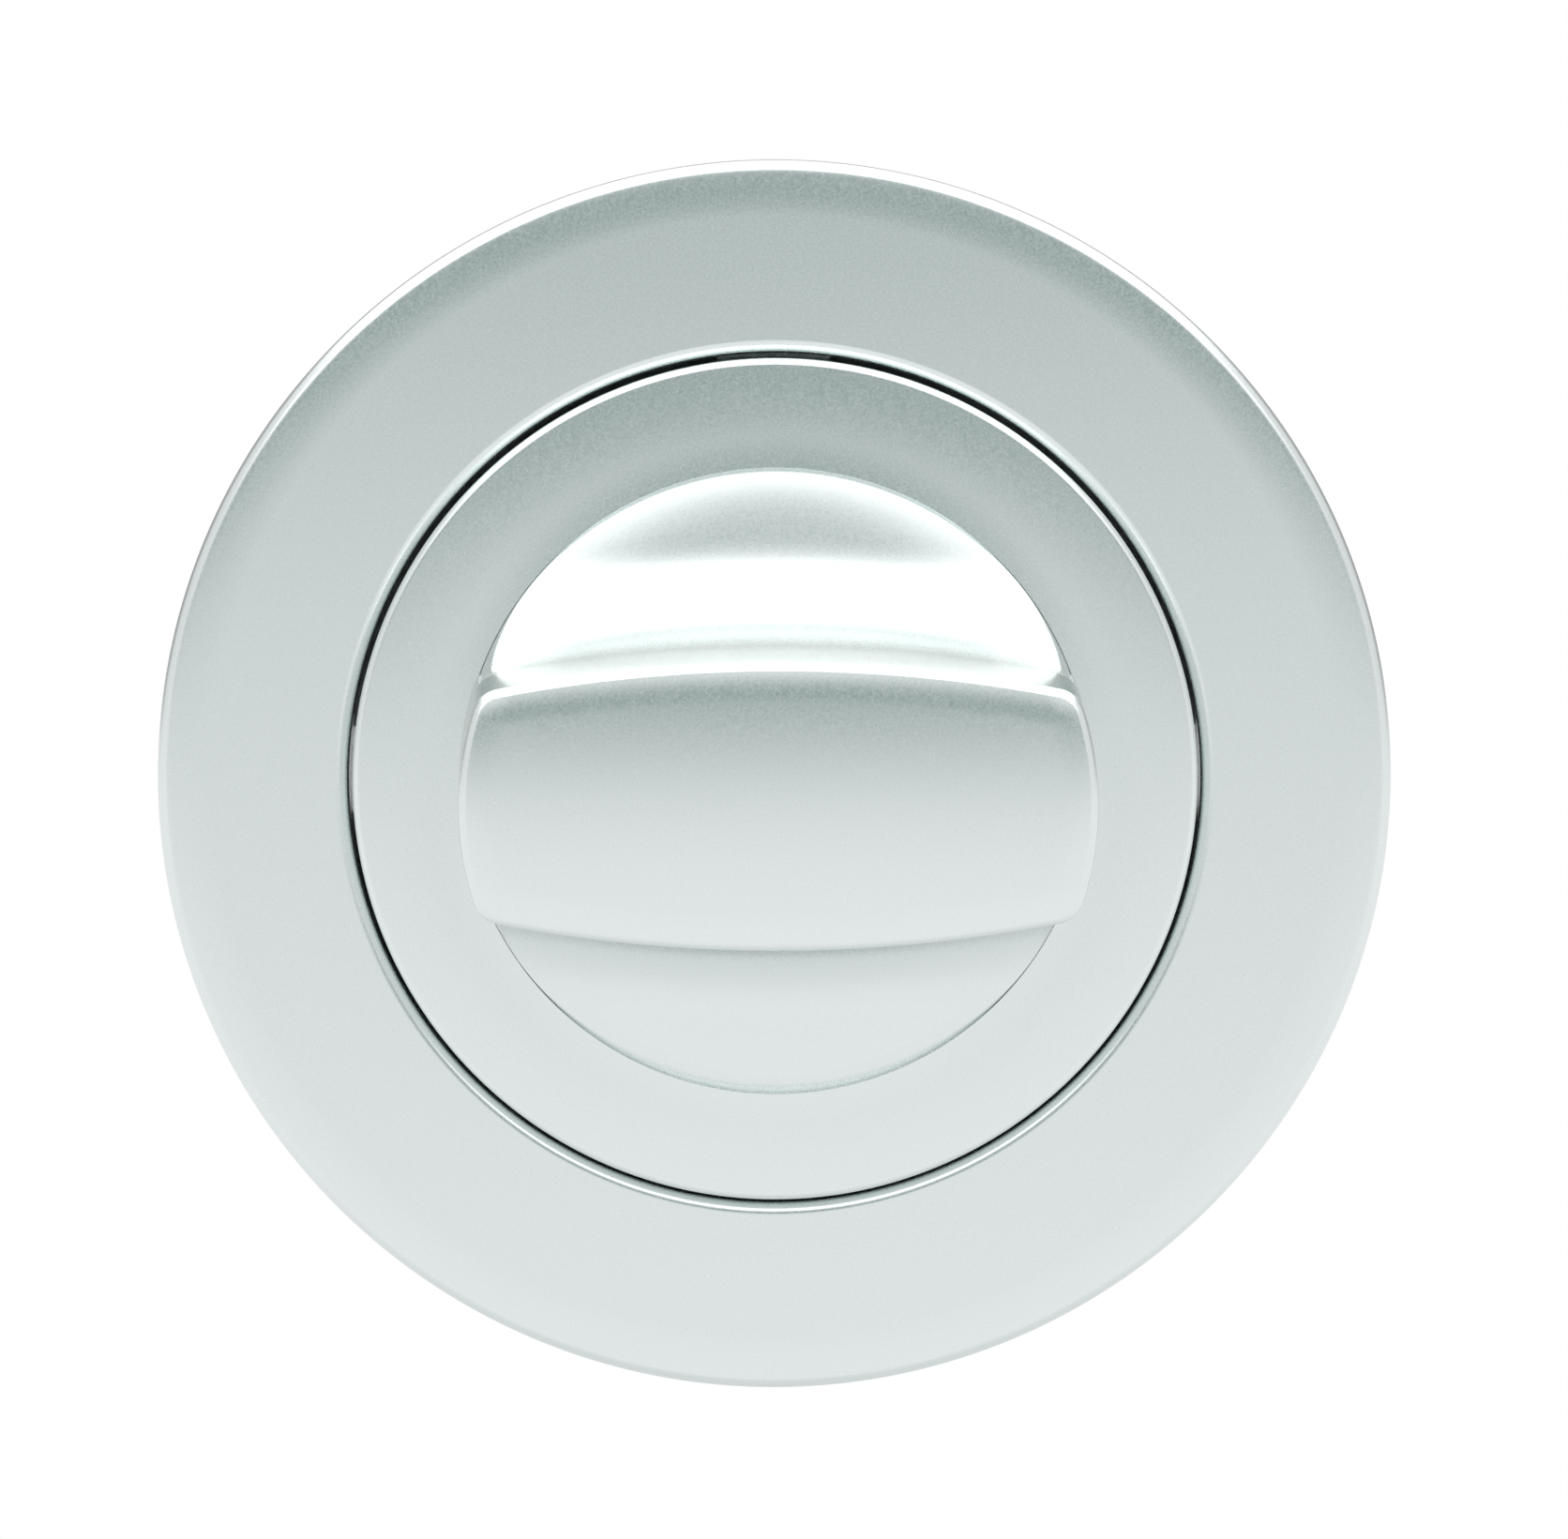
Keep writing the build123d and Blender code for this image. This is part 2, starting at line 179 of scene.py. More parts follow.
# %% [markdown]
# ## The roses
# A rose is a drawn cover: a flat face, an outer edge that polishing has rolled a little, a small
# radius into the wall, and a round hole for the knob. Inside it has a bead that snaps over the
# backplate. Both roses come from one section. The rolled edge is an arc so shallow that it is only
# seen in the way the face darkens towards its top.

# %% roses
ROSE_R, ROSE_DEPTH, ROSE_WALL, ROSE_COLUMNS = 26.0, 8.0, 1.5, 360
HOLE_R, HOLE_EDGE = 17.93, 0.55
ROLL_WIDTH, ROLL_DROP, ROSE_EDGE, ROSE_FOOT = 2.3, 0.1, 0.5, 0.25
BEAD_Z, BEAD_R = 1.52, 0.4
CROWN_POINTS = 14


def shallow_radius(width, drop):
    """Radius of an arc that starts level and has fallen by drop after width."""
    return (width**2 + drop**2) / (2 * drop)


def crowned_edge(start_r, wall_r, top, drop, edge):
    """Shallow arc from (start_r, top) that flows into a wall at wall_r through a small radius."""
    big = shallow_radius(wall_r - start_r, drop)
    reach = wall_r - edge - start_r
    edge_z = top - big + math.sqrt((big - edge) ** 2 - reach**2)
    turn = math.degrees(math.asin(reach / (big - edge)))
    crown = arc(start_r, top - big, big, 0, turn, CROWN_POINTS)
    return section(crown, arc(wall_r - edge, edge_z, edge, turn, 90, CROWN_POINTS)), edge_z


def rose_section():
    """Closed section of the cover: hole, face, rolled edge, wall, foot, inside with its bead, roof."""
    inner_r, roof = ROSE_R - ROSE_WALL, ROSE_DEPTH - ROSE_WALL
    edge, edge_z = crowned_edge(ROSE_R - ROLL_WIDTH, ROSE_R, ROSE_DEPTH, ROLL_DROP, ROSE_EDGE)
    return section(
        run((HOLE_R, roof), (HOLE_R, ROSE_DEPTH - HOLE_EDGE)),
        arc(HOLE_R + HOLE_EDGE, ROSE_DEPTH - HOLE_EDGE, HOLE_EDGE, -90, 0, 12),
        run((HOLE_R + HOLE_EDGE, ROSE_DEPTH), (ROSE_R - ROLL_WIDTH, ROSE_DEPTH), 6),
        edge,
        run((ROSE_R, edge_z), (ROSE_R, ROSE_FOOT), 4),
        arc(ROSE_R - ROSE_FOOT, ROSE_FOOT, ROSE_FOOT, 90, 180, 6),
        run((ROSE_R - ROSE_FOOT, 0), (inner_r, 0)),
        run((inner_r, 0), (inner_r, BEAD_Z - BEAD_R)),
        arc(inner_r, BEAD_Z, BEAD_R, 180, 360, 10),
        run((inner_r, BEAD_Z + BEAD_R), (inner_r, roof)),
        run((inner_r, roof), (HOLE_R, roof)),
    )


rose_grid = lathe(rose_section(), evenly(ROSE_COLUMNS))
turn_rose = [sheet_of(on_turn_side(rose_grid))]
release_rose = [sheet_of(on_release_side(rose_grid))]
satin_pieces = [
    make_piece("turn_rose_cover", turn_rose, "fixed_set", "satin_chrome", "turn_rose"),
    make_piece("release_rose_cover", release_rose, "fixed_set", "satin_chrome", "release_rose"),
]

# %% [markdown]
# ## What the knob and the release share
# Both are castings with the same rim, underside, bearing stem and neck. The neck ends in a square
# socket for the spindle. These rows are the same for every column, only the socket's radius follows
# the direction of the column, as the distance to a square's side does.

# %% rim, stem and socket
KNOB_R, RING_WIDTH, RING_DROP, RIM_EDGE = 17.75, 4.55, 0.14, 0.3
RIM_TOP, DISC_UNDER, UNDER_EDGE = 8.9, 5.6, 0.3
RECESS_R = KNOB_R - RING_WIDTH
STEM_R, GROOVE_R, NECK_R = 7.0, 6.5, 5.495
GROOVE_TOP, GROOVE_FOOT, STEM_END, STEM_EDGE = 1.5, 0.47, -0.4, 0.25
NECK_EDGE, SOCKET_HALF, SOCKET_TOP = 0.4, 2.56, 5.0


def ring_height(r):
    """Height of the crowned ring at radius r: level at the recess, falling on a shallow arc."""
    big = shallow_radius(RING_WIDTH, RING_DROP)
    return RIM_TOP - big + np.sqrt(big**2 - np.clip(r - RECESS_R, 0, None) ** 2)


rim_arc, rim_edge_z = crowned_edge(RECESS_R, KNOB_R, RIM_TOP, RING_DROP, RIM_EDGE)
rim_arc = rim_arc[CROWN_POINTS - 1 :]


def back_section(neck_z, neck_end):
    """Rim edge, rim wall, underside, stem with its clip groove, and the neck at the heights neck_z."""
    neck = np.stack([np.full(len(neck_z), NECK_R), neck_z], -1)
    return section(
        rim_arc,
        run((KNOB_R, rim_edge_z), (KNOB_R, DISC_UNDER + UNDER_EDGE), 3),
        arc(KNOB_R - UNDER_EDGE, DISC_UNDER + UNDER_EDGE, UNDER_EDGE, 90, 180, 6),
        run((KNOB_R - UNDER_EDGE, DISC_UNDER), (STEM_R, DISC_UNDER), 4),
        run((STEM_R, DISC_UNDER), (STEM_R, GROOVE_TOP)),
        run((STEM_R, GROOVE_TOP), (GROOVE_R, GROOVE_TOP)),
        run((GROOVE_R, GROOVE_TOP), (GROOVE_R, GROOVE_FOOT)),
        run((GROOVE_R, GROOVE_FOOT), (STEM_R, GROOVE_FOOT)),
        run((STEM_R, GROOVE_FOOT), (STEM_R, STEM_END + STEM_EDGE), 2),
        arc(STEM_R - STEM_EDGE, STEM_END + STEM_EDGE, STEM_EDGE, 90, 180, 6),
        run((STEM_R - STEM_EDGE, STEM_END), (NECK_R, STEM_END), 2),
        neck,
        arc(NECK_R - NECK_EDGE, neck_end + NECK_EDGE, NECK_EDGE, 90, 180, 7),
    )


def socket_rows(turn, neck_end):
    """Rows of the neck's end face, the square socket's walls and its closed end, for each column angle."""
    square_r = SOCKET_HALF / np.maximum(abs(np.cos(turn)), abs(np.sin(turn)))
    to_rim = np.array([0.97, 0.5, 0.03, 0.0, 0.0, 0.0, 0.0, 0.0])
    open_row = np.array([1, 1, 1, 1, 1, 1, 1, 0.0])
    tall = SOCKET_TOP - neck_end
    height = neck_end + tall * np.array([0, 0, 0, 0, 0.01, 0.99, 1, 1])
    rim = NECK_R - NECK_EDGE
    r = (square_r[:, None] + to_rim * (rim - square_r)[:, None]) * open_row
    a = turn[:, None]
    return np.stack([r * np.cos(a), r * np.sin(a), height + 0 * a], -1)


print("the ring runs from radius", round(RECESS_R, 2), "to", round(rim_arc[0, 0], 2), "mm")

# %% [markdown]
# ## The turn: plan of the bar
# The grip is a bar with barrel-shaped sides, ends that follow the recess and corners of 1.3 mm. Its
# walls lean in by two degrees, as a casting needs to leave its mould. A subdivided box would come
# close, but the highlight along the bar's edge shows the smallest wobble. So the plan is worked out:
# an end arc about the axis, a corner arc and a side arc, each normal to the next where they meet. One
# quarter is enough, and the other three are mirror images. Widths are taken at the top, and the lean
# is counted from a foot a little below the ring.

# %% plan of the bar
BAR_WIDTH, BAR_TALL, BAR_SIDE_R, BAR_CORNER, BAR_EDGE = 11.65, 11.0, 60.0, 1.3, 0.4
CROWN_ACROSS, CROWN_ALONG, DRAFT = 75.0, 400.0, math.radians(2)
FOOT_DEPTH, END_OVER_RING = 0.7, 0.1
FOOT_Z = RIM_TOP - FOOT_DEPTH
BAR_TOP = RIM_TOP + BAR_TALL
BAR_END_R = RECESS_R + END_OVER_RING
HALF_FOOT = BAR_WIDTH / 2 + math.tan(DRAFT) * (BAR_TOP - FOOT_Z)
SIDE_OFF = BAR_SIDE_R - HALF_FOOT
END, CORNER, SIDE = 0, 1, 2
SHORT_COLUMNS, SIDE_COLUMNS = 22, 66

stretch = np.repeat([END, CORNER, SIDE], [SHORT_COLUMNS, SHORT_COLUMNS, SIDE_COLUMNS])
short_share = np.arange(SHORT_COLUMNS) / SHORT_COLUMNS
share = np.concatenate([short_share, short_share, np.linspace(0, 1, SIDE_COLUMNS)])


def lean(z):
    """How far the walls have leaned in at height z."""
    return np.tan(DRAFT) * (z - FOOT_Z)


def bar_plan(z):
    """Points of a quarter of the bar's plan at the heights z, and the direction each point's wall faces."""
    end, side = BAR_END_R - lean(z), BAR_SIDE_R - lean(z)
    near, far = end - BAR_CORNER, side - BAR_CORNER
    y = (far**2 - near**2 - SIDE_OFF**2) / (2 * SIDE_OFF)
    x = np.sqrt(near**2 - y**2)
    toe, heel = np.arctan2(y, x), np.arctan2(y + SIDE_OFF, x)
    on_side = heel + share * (np.pi / 2 - heel)
    facing = np.choose(stretch, [share * toe, toe + share * (heel - toe), on_side])
    cx = np.choose(stretch, [0 * x, x, 0 * x])
    cy = np.choose(stretch, [0 * y, y, 0 * y - SIDE_OFF])
    radius = np.choose(stretch, [end, BAR_CORNER + 0 * end, side])
    return cx + radius * np.cos(facing), cy + radius * np.sin(facing), facing


def snap_to_diagonal():
    """Moves one column of the side on to the 45 degree ray, where the square socket has its corner."""
    x, y, facing = bar_plan(0 * share + FOOT_Z)
    heel = facing[stretch == SIDE][0]
    k = np.argmin(np.where(stretch == SIDE, abs(np.arctan2(y, x) - np.pi / 4), np.inf))
    diagonal = np.pi / 4 + math.asin(SIDE_OFF / (BAR_SIDE_R * math.sqrt(2)))
    share[k] = (diagonal - heel) / (np.pi / 2 - heel)


snap_to_diagonal()
print("columns in a quarter of the bar:", len(share))

# %% [markdown]
# ## The turn: top and edge of the bar
# The top of the bar is crowned both ways, and polishing has rolled it off a little more over the last
# 1.5 mm. A bevel would give every edge the same width, and the photograph shows one that fades into
# the top. So the roll is a parabola of the distance from the outline.

# %% top of the bar
EDGE_ROLL, EDGE_ROLL_DROP = 1.5, 0.1


def bar_top(x, y):
    """Height of the bar's top: an arc across it, carried along a larger arc."""
    across = CROWN_ACROSS - np.sqrt(CROWN_ACROSS**2 - y**2)
    return BAR_TOP - CROWN_ALONG + np.sqrt((CROWN_ALONG - across) ** 2 - x**2)


def inside_edge(x, y):
    """Distance inside the top's outline: the nearer of end and side, rounded where a corner is near."""
    end = BAR_END_R - lean(BAR_TOP) - np.hypot(x, y)
    side = BAR_SIDE_R - lean(BAR_TOP) - np.hypot(x, y + SIDE_OFF)
    corner = BAR_CORNER - np.hypot(BAR_CORNER - end, BAR_CORNER - side)
    return np.where(np.maximum(end, side) < BAR_CORNER, corner, np.minimum(end, side))


def edge_roll(x, y):
    """Extra fall of the top towards its edge, a parabola of the distance inside it, and its slope."""
    near = np.clip(1 - inside_edge(x, y) / EDGE_ROLL, 0, None)
    return EDGE_ROLL_DROP * near**2, 2 * EDGE_ROLL_DROP / EDGE_ROLL * near


print("the crown falls by", round(BAR_TOP - bar_top(0, BAR_WIDTH / 2), 2), "mm towards the bar's side")

# %% [markdown]
# The edge is a ball of 0.4 mm carried along the corner of top and wall: its centre lies that far from
# both, and its circle runs from one touching point to the other. Where it touches depends on how steep
# the top is there, and that on where it touches, so a few rounds close in on it.

# %% edge of the bar
EDGE_ROUNDS, EDGE_POINTS, FIRST_GUESS = 6, 11, 0.2


def stack_rows(x, y, z):
    """Columns of points from rows of x, y and z, each (rows, columns)."""
    return np.stack([x, y, z], -1).transpose(1, 0, 2)


def bar_edge_rows():
    """Rows of the bar's top and of the rolled edge, from the middle of the top to the wall."""
    top_z = np.full(len(share), BAR_TOP - FIRST_GUESS)
    inside = np.full(len(share), BAR_EDGE)
    for _ in range(EDGE_ROUNDS):
        x, y, facing = bar_plan(top_z)
        nx, ny = np.cos(facing), np.sin(facing)
        touch_x, touch_y = x - inside * nx, y - inside * ny
        slope = touch_x * nx / CROWN_ALONG + touch_y * ny / CROWN_ACROSS
        rolled, steeper = edge_roll(touch_x, touch_y)
        slope = slope + steeper
        top_z = bar_top(touch_x, touch_y) - rolled - slope * inside
        tilt = np.arctan(slope)
        both = np.cos(DRAFT + tilt)
        centre_out = -BAR_EDGE * (np.cos(tilt) - math.sin(DRAFT)) / both
        centre_up = -BAR_EDGE * (math.cos(DRAFT) - np.sin(tilt)) / both
        inside = -(centre_out + BAR_EDGE * np.sin(tilt))
    a = tilt + np.linspace(0, 1, EDGE_POINTS)[:, None] * (np.pi / 2 - DRAFT - tilt)
    out = centre_out + BAR_EDGE * np.sin(a)
    edge_x, edge_y = x + out * nx, y + out * ny
    edge_z = top_z + centre_up + BAR_EDGE * np.cos(a)
    reach = touch_x * nx + touch_y * ny
    near = np.clip(1 - EDGE_ROLL / reach, 0.5, None)
    inner, outer = np.linspace(0, 0.97, 10)[:, None], np.linspace(0, 0.995, 12)[:, None]
    t = np.concatenate([inner * near, near + outer * (1 - near)])
    top_x, top_y = t * edge_x[0], t * edge_y[0]
    top = bar_top(top_x, top_y) - edge_roll(top_x, top_y)[0]
    return np.concatenate([stack_rows(top_x, top_y, top), stack_rows(edge_x, edge_y, edge_z)], 1)


bar_edge = bar_edge_rows()
print("the edge ends", round(BAR_TOP - bar_edge[:, -1, 2].max(), 2), "mm or more below the top")

# %% [markdown]
# ## The turn: finger hollows
# Beside the bar the casting is hollowed for finger and thumb. The bar's wall flows into the hollow on
# an arc that follows the bar's side and eases out into an even slope. The slope falls away from the
# bar by seven degrees, rolls off towards the ring and ends at a small step below it. A dish with a
# level floor would be simpler, but its reflections would show one flat tone, and the photograph has
# a grey crescent there between two bright bands.

# %% section of a hollow
SCOOP_FALL, SCOOP_RADIUS, SCOOP_EASE = math.radians(7.0), 3.9, 1.8
SCOOP_STEP, ROLL_OFF, ROLL_OFF_DROP, ROLL_OFF_SPREAD = 0.4, 2.6, 0.11, 0.022
SECTION_STEPS = 4000


def scoop_section():
    """Distance from the bar's side and height along the scoop's section, from the wall down to the slope.

    The curvature grows evenly from none to that of the scoop's radius, and its sum is the tilt. The
    section is then slid along the slope until its upper end lies on the leaning wall.
    """
    s = np.linspace(0, 2 * SCOOP_RADIUS + SCOOP_EASE, SECTION_STEPS)
    step = s[1]
    tilt = SCOOP_FALL + np.cumsum(np.clip(s / SCOOP_EASE, 0, 1)) * step / SCOOP_RADIUS
    tilt = tilt[tilt < np.pi / 2 - DRAFT]
    inward, up = np.cumsum(np.cos(tilt)) * step, np.cumsum(np.sin(tilt)) * step
    span, fall, leaning = RECESS_R - HALF_FOOT, math.tan(SCOOP_FALL), math.tan(DRAFT)
    low = RIM_TOP - SCOOP_STEP + ROLL_OFF_DROP
    start = (inward[-1] - leaning * (low - FOOT_Z + span * fall + up[-1])) / (1 - leaning * fall)
    start_z = low + (span - start) * fall
    return (start - inward)[::-1], (start_z + up)[::-1]


section_d, section_z = scoop_section()
BLEND_IN, BLEND_TOP = section_d[0], section_z[0]
print("the scoop leaves the wall at", round(BLEND_TOP, 2), "mm")
print("its even slope starts", round(section_d[-1], 2), "mm out")

# %% [markdown]
# At the bar's corners the arc is still higher than the ring, and a steep cone cuts it off just inside
# the ring. The ring itself rises by a hair towards the hollow, because polishing reaches less of it
# there: that is what draws the darker line along its inner edge.

# %% height of the hollows
GUTTER_STEP, GUTTER_SLOPE, GUTTER_EASE, RUN_OUT_SLOPE = 0.12, 8.0, 0.08, 2.0
LIP_RISE, LIP_WIDE = 0.03, 1.3


def from_side(x, y):
    """Distance of a point outside the bar's side arc at its foot."""
    return np.hypot(x, y + SIDE_OFF) - BAR_SIDE_R


def hollow(x, y):
    """Height of the scoop: its section beside the bar, the even slope, and the roll-off at the ring.

    The roll-off is a cubic, and it widens towards the bar's ends. A steep cone beside the ring cuts the
    scoop off below the ring's level, and the corner between is eased.
    """
    d, r = from_side(x, y), np.hypot(x, y)
    z = np.interp(d, section_d, section_z) + RUN_OUT_SLOPE * np.clip(BLEND_IN - d, 0, None)
    z = z - math.tan(SCOOP_FALL) * np.clip(d - section_d[-1], 0, None)
    width = ROLL_OFF + ROLL_OFF_SPREAD * x**2
    z = z - ROLL_OFF_DROP * width / ROLL_OFF * np.clip(1 - (RECESS_R - r) / width, 0, 1) ** 3
    cone = RIM_TOP - GUTTER_STEP + GUTTER_SLOPE * (RECESS_R - r)
    return 0.5 * (z + cone - np.hypot(z - cone, GUTTER_EASE))


def lip(r):
    """Rise of the ring towards the recess: a parabola from LIP_WIDE inwards."""
    return LIP_RISE * np.clip(1 - (r - RECESS_R) / LIP_WIDE, 0, 1) ** 2


print("the hollow ends", round(RIM_TOP - hollow(0, RECESS_R), 2), "mm below the ring")

# %% [markdown]
# ## The turn: a quarter of its front
# Rows now step down the leaning wall to the foot, out over the hollow, up the small step and across
# the ring. They could be separate sheets, but in one grid they share their columns, and no seam shows
# where the wall flows into the hollow.

# %% front of the knob
FOOT_ROUNDS = 4


def bar_foot():
    """Height where each wall ends: on the arc, a little higher round the corner, level at the ends."""
    foot_z = np.full(len(share), BLEND_TOP)
    for _ in range(FOOT_ROUNDS):
        x, y, _ = bar_plan(foot_z)
        short = np.clip(BLEND_IN - from_side(x, y), 0, None)
        short = np.where(stretch == END, short[stretch == CORNER][0], short)
        foot_z = BLEND_TOP + RUN_OUT_SLOPE * np.where(stretch == SIDE, 0, short)
    return foot_z


def knob_quarter():
    """All rows of a quarter of the knob's front, from the middle of the bar to the rim's edge."""
    start_z, foot_z = bar_edge[:, -1, 2], bar_foot()
    drop = np.concatenate([[0.004], np.linspace(0.03, 0.97, 10), [0.996, 1.0]])[:, None]
    wall_z = start_z + (foot_z - start_z) * drop
    wall_x, wall_y, _ = bar_plan(wall_z)
    wall = stack_rows(wall_x, wall_y, wall_z)

    x, y, facing = bar_plan(foot_z)
    foot_r, turn = np.hypot(x, y), np.arctan2(y, x)
    cos, sin = np.cos(turn), np.sin(turn)
    stop_r = foot_r + (lean(foot_z) - lean(RIM_TOP)) / np.cos(facing - turn)
    on_ring = stop_r > RECESS_R
    stop_r = np.maximum(stop_r, RECESS_R)
    s = np.concatenate([[0.004], np.linspace(0.02, 0.93, 40), np.linspace(0.94, 1, 12)])[:, None]
    r = foot_r + (stop_r - foot_r) * s
    lip_z = RIM_TOP + lip(stop_r)
    scoop_z = np.minimum(hollow(r * cos, r * sin), foot_z)
    z = np.where(on_ring, foot_z + (lip_z - foot_z) * s, scoop_z)
    bowl = stack_rows(r * cos, r * sin, z)

    climb = np.array([0.03, 0.5, 0.97, 1])[:, None]
    step_z = z[-1] + (lip_z - z[-1]) * climb
    step = stack_rows(0 * climb + stop_r * cos, 0 * climb + stop_r * sin, step_z)

    w = np.concatenate([[0.004, 0.012], np.linspace(0.03, 0.985, 14)])[:, None]
    r = stop_r + (rim_arc[0, 0] - stop_r) * w
    ring = stack_rows(r * cos, r * sin, ring_height(r) + lip(r))
    return np.concatenate([bar_edge, wall, bowl, step, ring], 1), turn


knob_front, front_turn = knob_quarter()
print("columns and rows of a quarter of the front:", knob_front.shape[:2])

# %% [markdown]
# ## The turn: four quarters and the back
# Mirroring is a change of sign, and every second quarter is taken in reverse so that the columns keep
# going the same way round. The back rows follow in the same columns.

# %% four quarters
def four_quarters(grid, turn):
    """The quarter and its mirror images as one closed run of columns, and their angles."""
    last = len(turn) - 1
    up, down = np.arange(last + 1), np.arange(last, -1, -1)
    order = np.concatenate([up, down[1:], up[1:], down[1:-1]])
    sign_x = np.repeat([1, -1, 1], [last + 1, 2 * last, last - 1])
    sign_y = np.repeat([1, -1], [2 * last + 1, 2 * last - 1])
    signs = np.stack([sign_x, sign_y, np.ones(len(order))], -1)[:, None, :]
    angle = np.arctan2(sign_y * np.sin(turn[order]), sign_x * np.cos(turn[order]))
    return grid[order] * signs, angle


knob_front, knob_turn = four_quarters(knob_front, front_turn)
print("columns all the way round the knob:", len(knob_turn))

# %% [markdown]
# A small screw hole is sunk into the neck, almost to the socket, and the grub screw hides its end. A
# boolean would cut it, and leave long thin faces beside it. Instead a square patch of the neck's wall
# is left out, and a ring of quads leads from its edge to the hole.

# %% the whole knob
TURN_NECK_END, GRUB_Z, GRUB_HOLE_R, PATCH = -9.0, -4.7, 1.53, 2.4
HOLE_STOP, RING_ROWS, CLOSER_INSIDE = 0.06, 9, 1.5


def neck_with_screw_hole(grid, turn, first, final):
    """Sheets of the knob: the grid without a patch of its neck, then the hole and the ring round it."""
    columns, rows = grid.shape[:2]
    faces = quads(columns, rows)
    half = np.argmin(abs(NECK_R * np.sin(turn[: columns // 8]) - PATCH))
    across, down = np.arange(-half, half + 1) % columns, np.arange(first, final + 1)
    keep = np.ones(faces.shape[:2], bool)
    keep[np.ix_(across[:-1], down[:-1])] = False
    sides = [grid[across, first], grid[across[-1], down[1:]]]
    sides += [grid[across[::-1][1:], final], grid[across[0], down[::-1][1:-1]]]
    edge = np.concatenate(sides)
    y, z = edge[:, 1], edge[:, 2] - GRUB_Z
    shrink = (GRUB_HOLE_R / np.hypot(y, z))[:, None]
    w = np.linspace(0, 1, RING_ROWS)[None, :] ** CLOSER_INSIDE
    ring_y, ring_z = y[:, None] * (shrink * (1 - w) + w), z[:, None] * (shrink * (1 - w) + w)
    ring = np.stack([np.sqrt(NECK_R**2 - ring_y**2), ring_y, GRUB_Z + ring_z], -1)
    mouth = ring[:, :1]
    depth = np.array([0.03, 0.5, 0.97, 1.0, 1.0])[None, :]
    scale = np.array([1, 1, 1, 1, 0.0])[None, :]
    bore_x = mouth[..., 0] + (SOCKET_HALF + HOLE_STOP - mouth[..., 0]) * depth
    bore = np.stack([bore_x, mouth[..., 1] * scale, GRUB_Z + (mouth[..., 2] - GRUB_Z) * scale], -1)
    return [(grid.reshape(-1, 3), faces[keep]), sheet_of(np.concatenate([bore[:, ::-1], ring], 1))]


above = np.linspace(STEM_END, GRUB_Z + PATCH, 5)[1:-1]
beside = np.linspace(GRUB_Z + PATCH, GRUB_Z - PATCH, 19)
below = np.linspace(GRUB_Z - PATCH, TURN_NECK_END + NECK_EDGE, 4)[1:-1]
back_line = back_section(np.concatenate([above, beside, below]), TURN_NECK_END)
knob_socket = socket_rows(knob_turn, TURN_NECK_END)
knob_grid = np.concatenate([knob_front, lathe(back_line, knob_turn), knob_socket], 1)
on_patch = np.isin(back_line[:, 1], beside) & (back_line[:, 0] == NECK_R)
patch_rows = knob_front.shape[1] + np.flatnonzero(on_patch)
knob_sheets = neck_with_screw_hole(knob_grid, knob_turn, patch_rows[0], patch_rows[-1])
knob_sheets = [(on_turn_side(p), q) for p, q in knob_sheets]
knob = make_piece("turn_knob_casting", knob_sheets, "turning_set", "satin_chrome", "turn_knob")

# %% [markdown]
# ## The release
# Outside, a plain disc with a coin slot takes the place of the bar. The columns start at the slot: its
# plan is two straight sides and two round ends. From its floor they climb the wall, cross the small
# chamfer of the lip and run out over the face to the same rim and stem as the knob's. Cutting the slot
# from a disc would be quicker, but the chamfer would then have no rows of its own to catch the light.

# %% release disc
RELEASE_NECK_END, SLOT_HALF_WIDE, SLOT_LIP = -4.0, 1.1, 0.35
SLOT_OF_RECESS, SLOT_OF_DISC = 0.55, 0.7
SLOT_REACH = SLOT_OF_RECESS * RECESS_R - SLOT_HALF_WIDE
SLOT_FLOOR = RIM_TOP - SLOT_OF_DISC * (RIM_TOP - DISC_UNDER)
ROUND_COLUMNS, STRAIGHT_COLUMNS = 25, 36


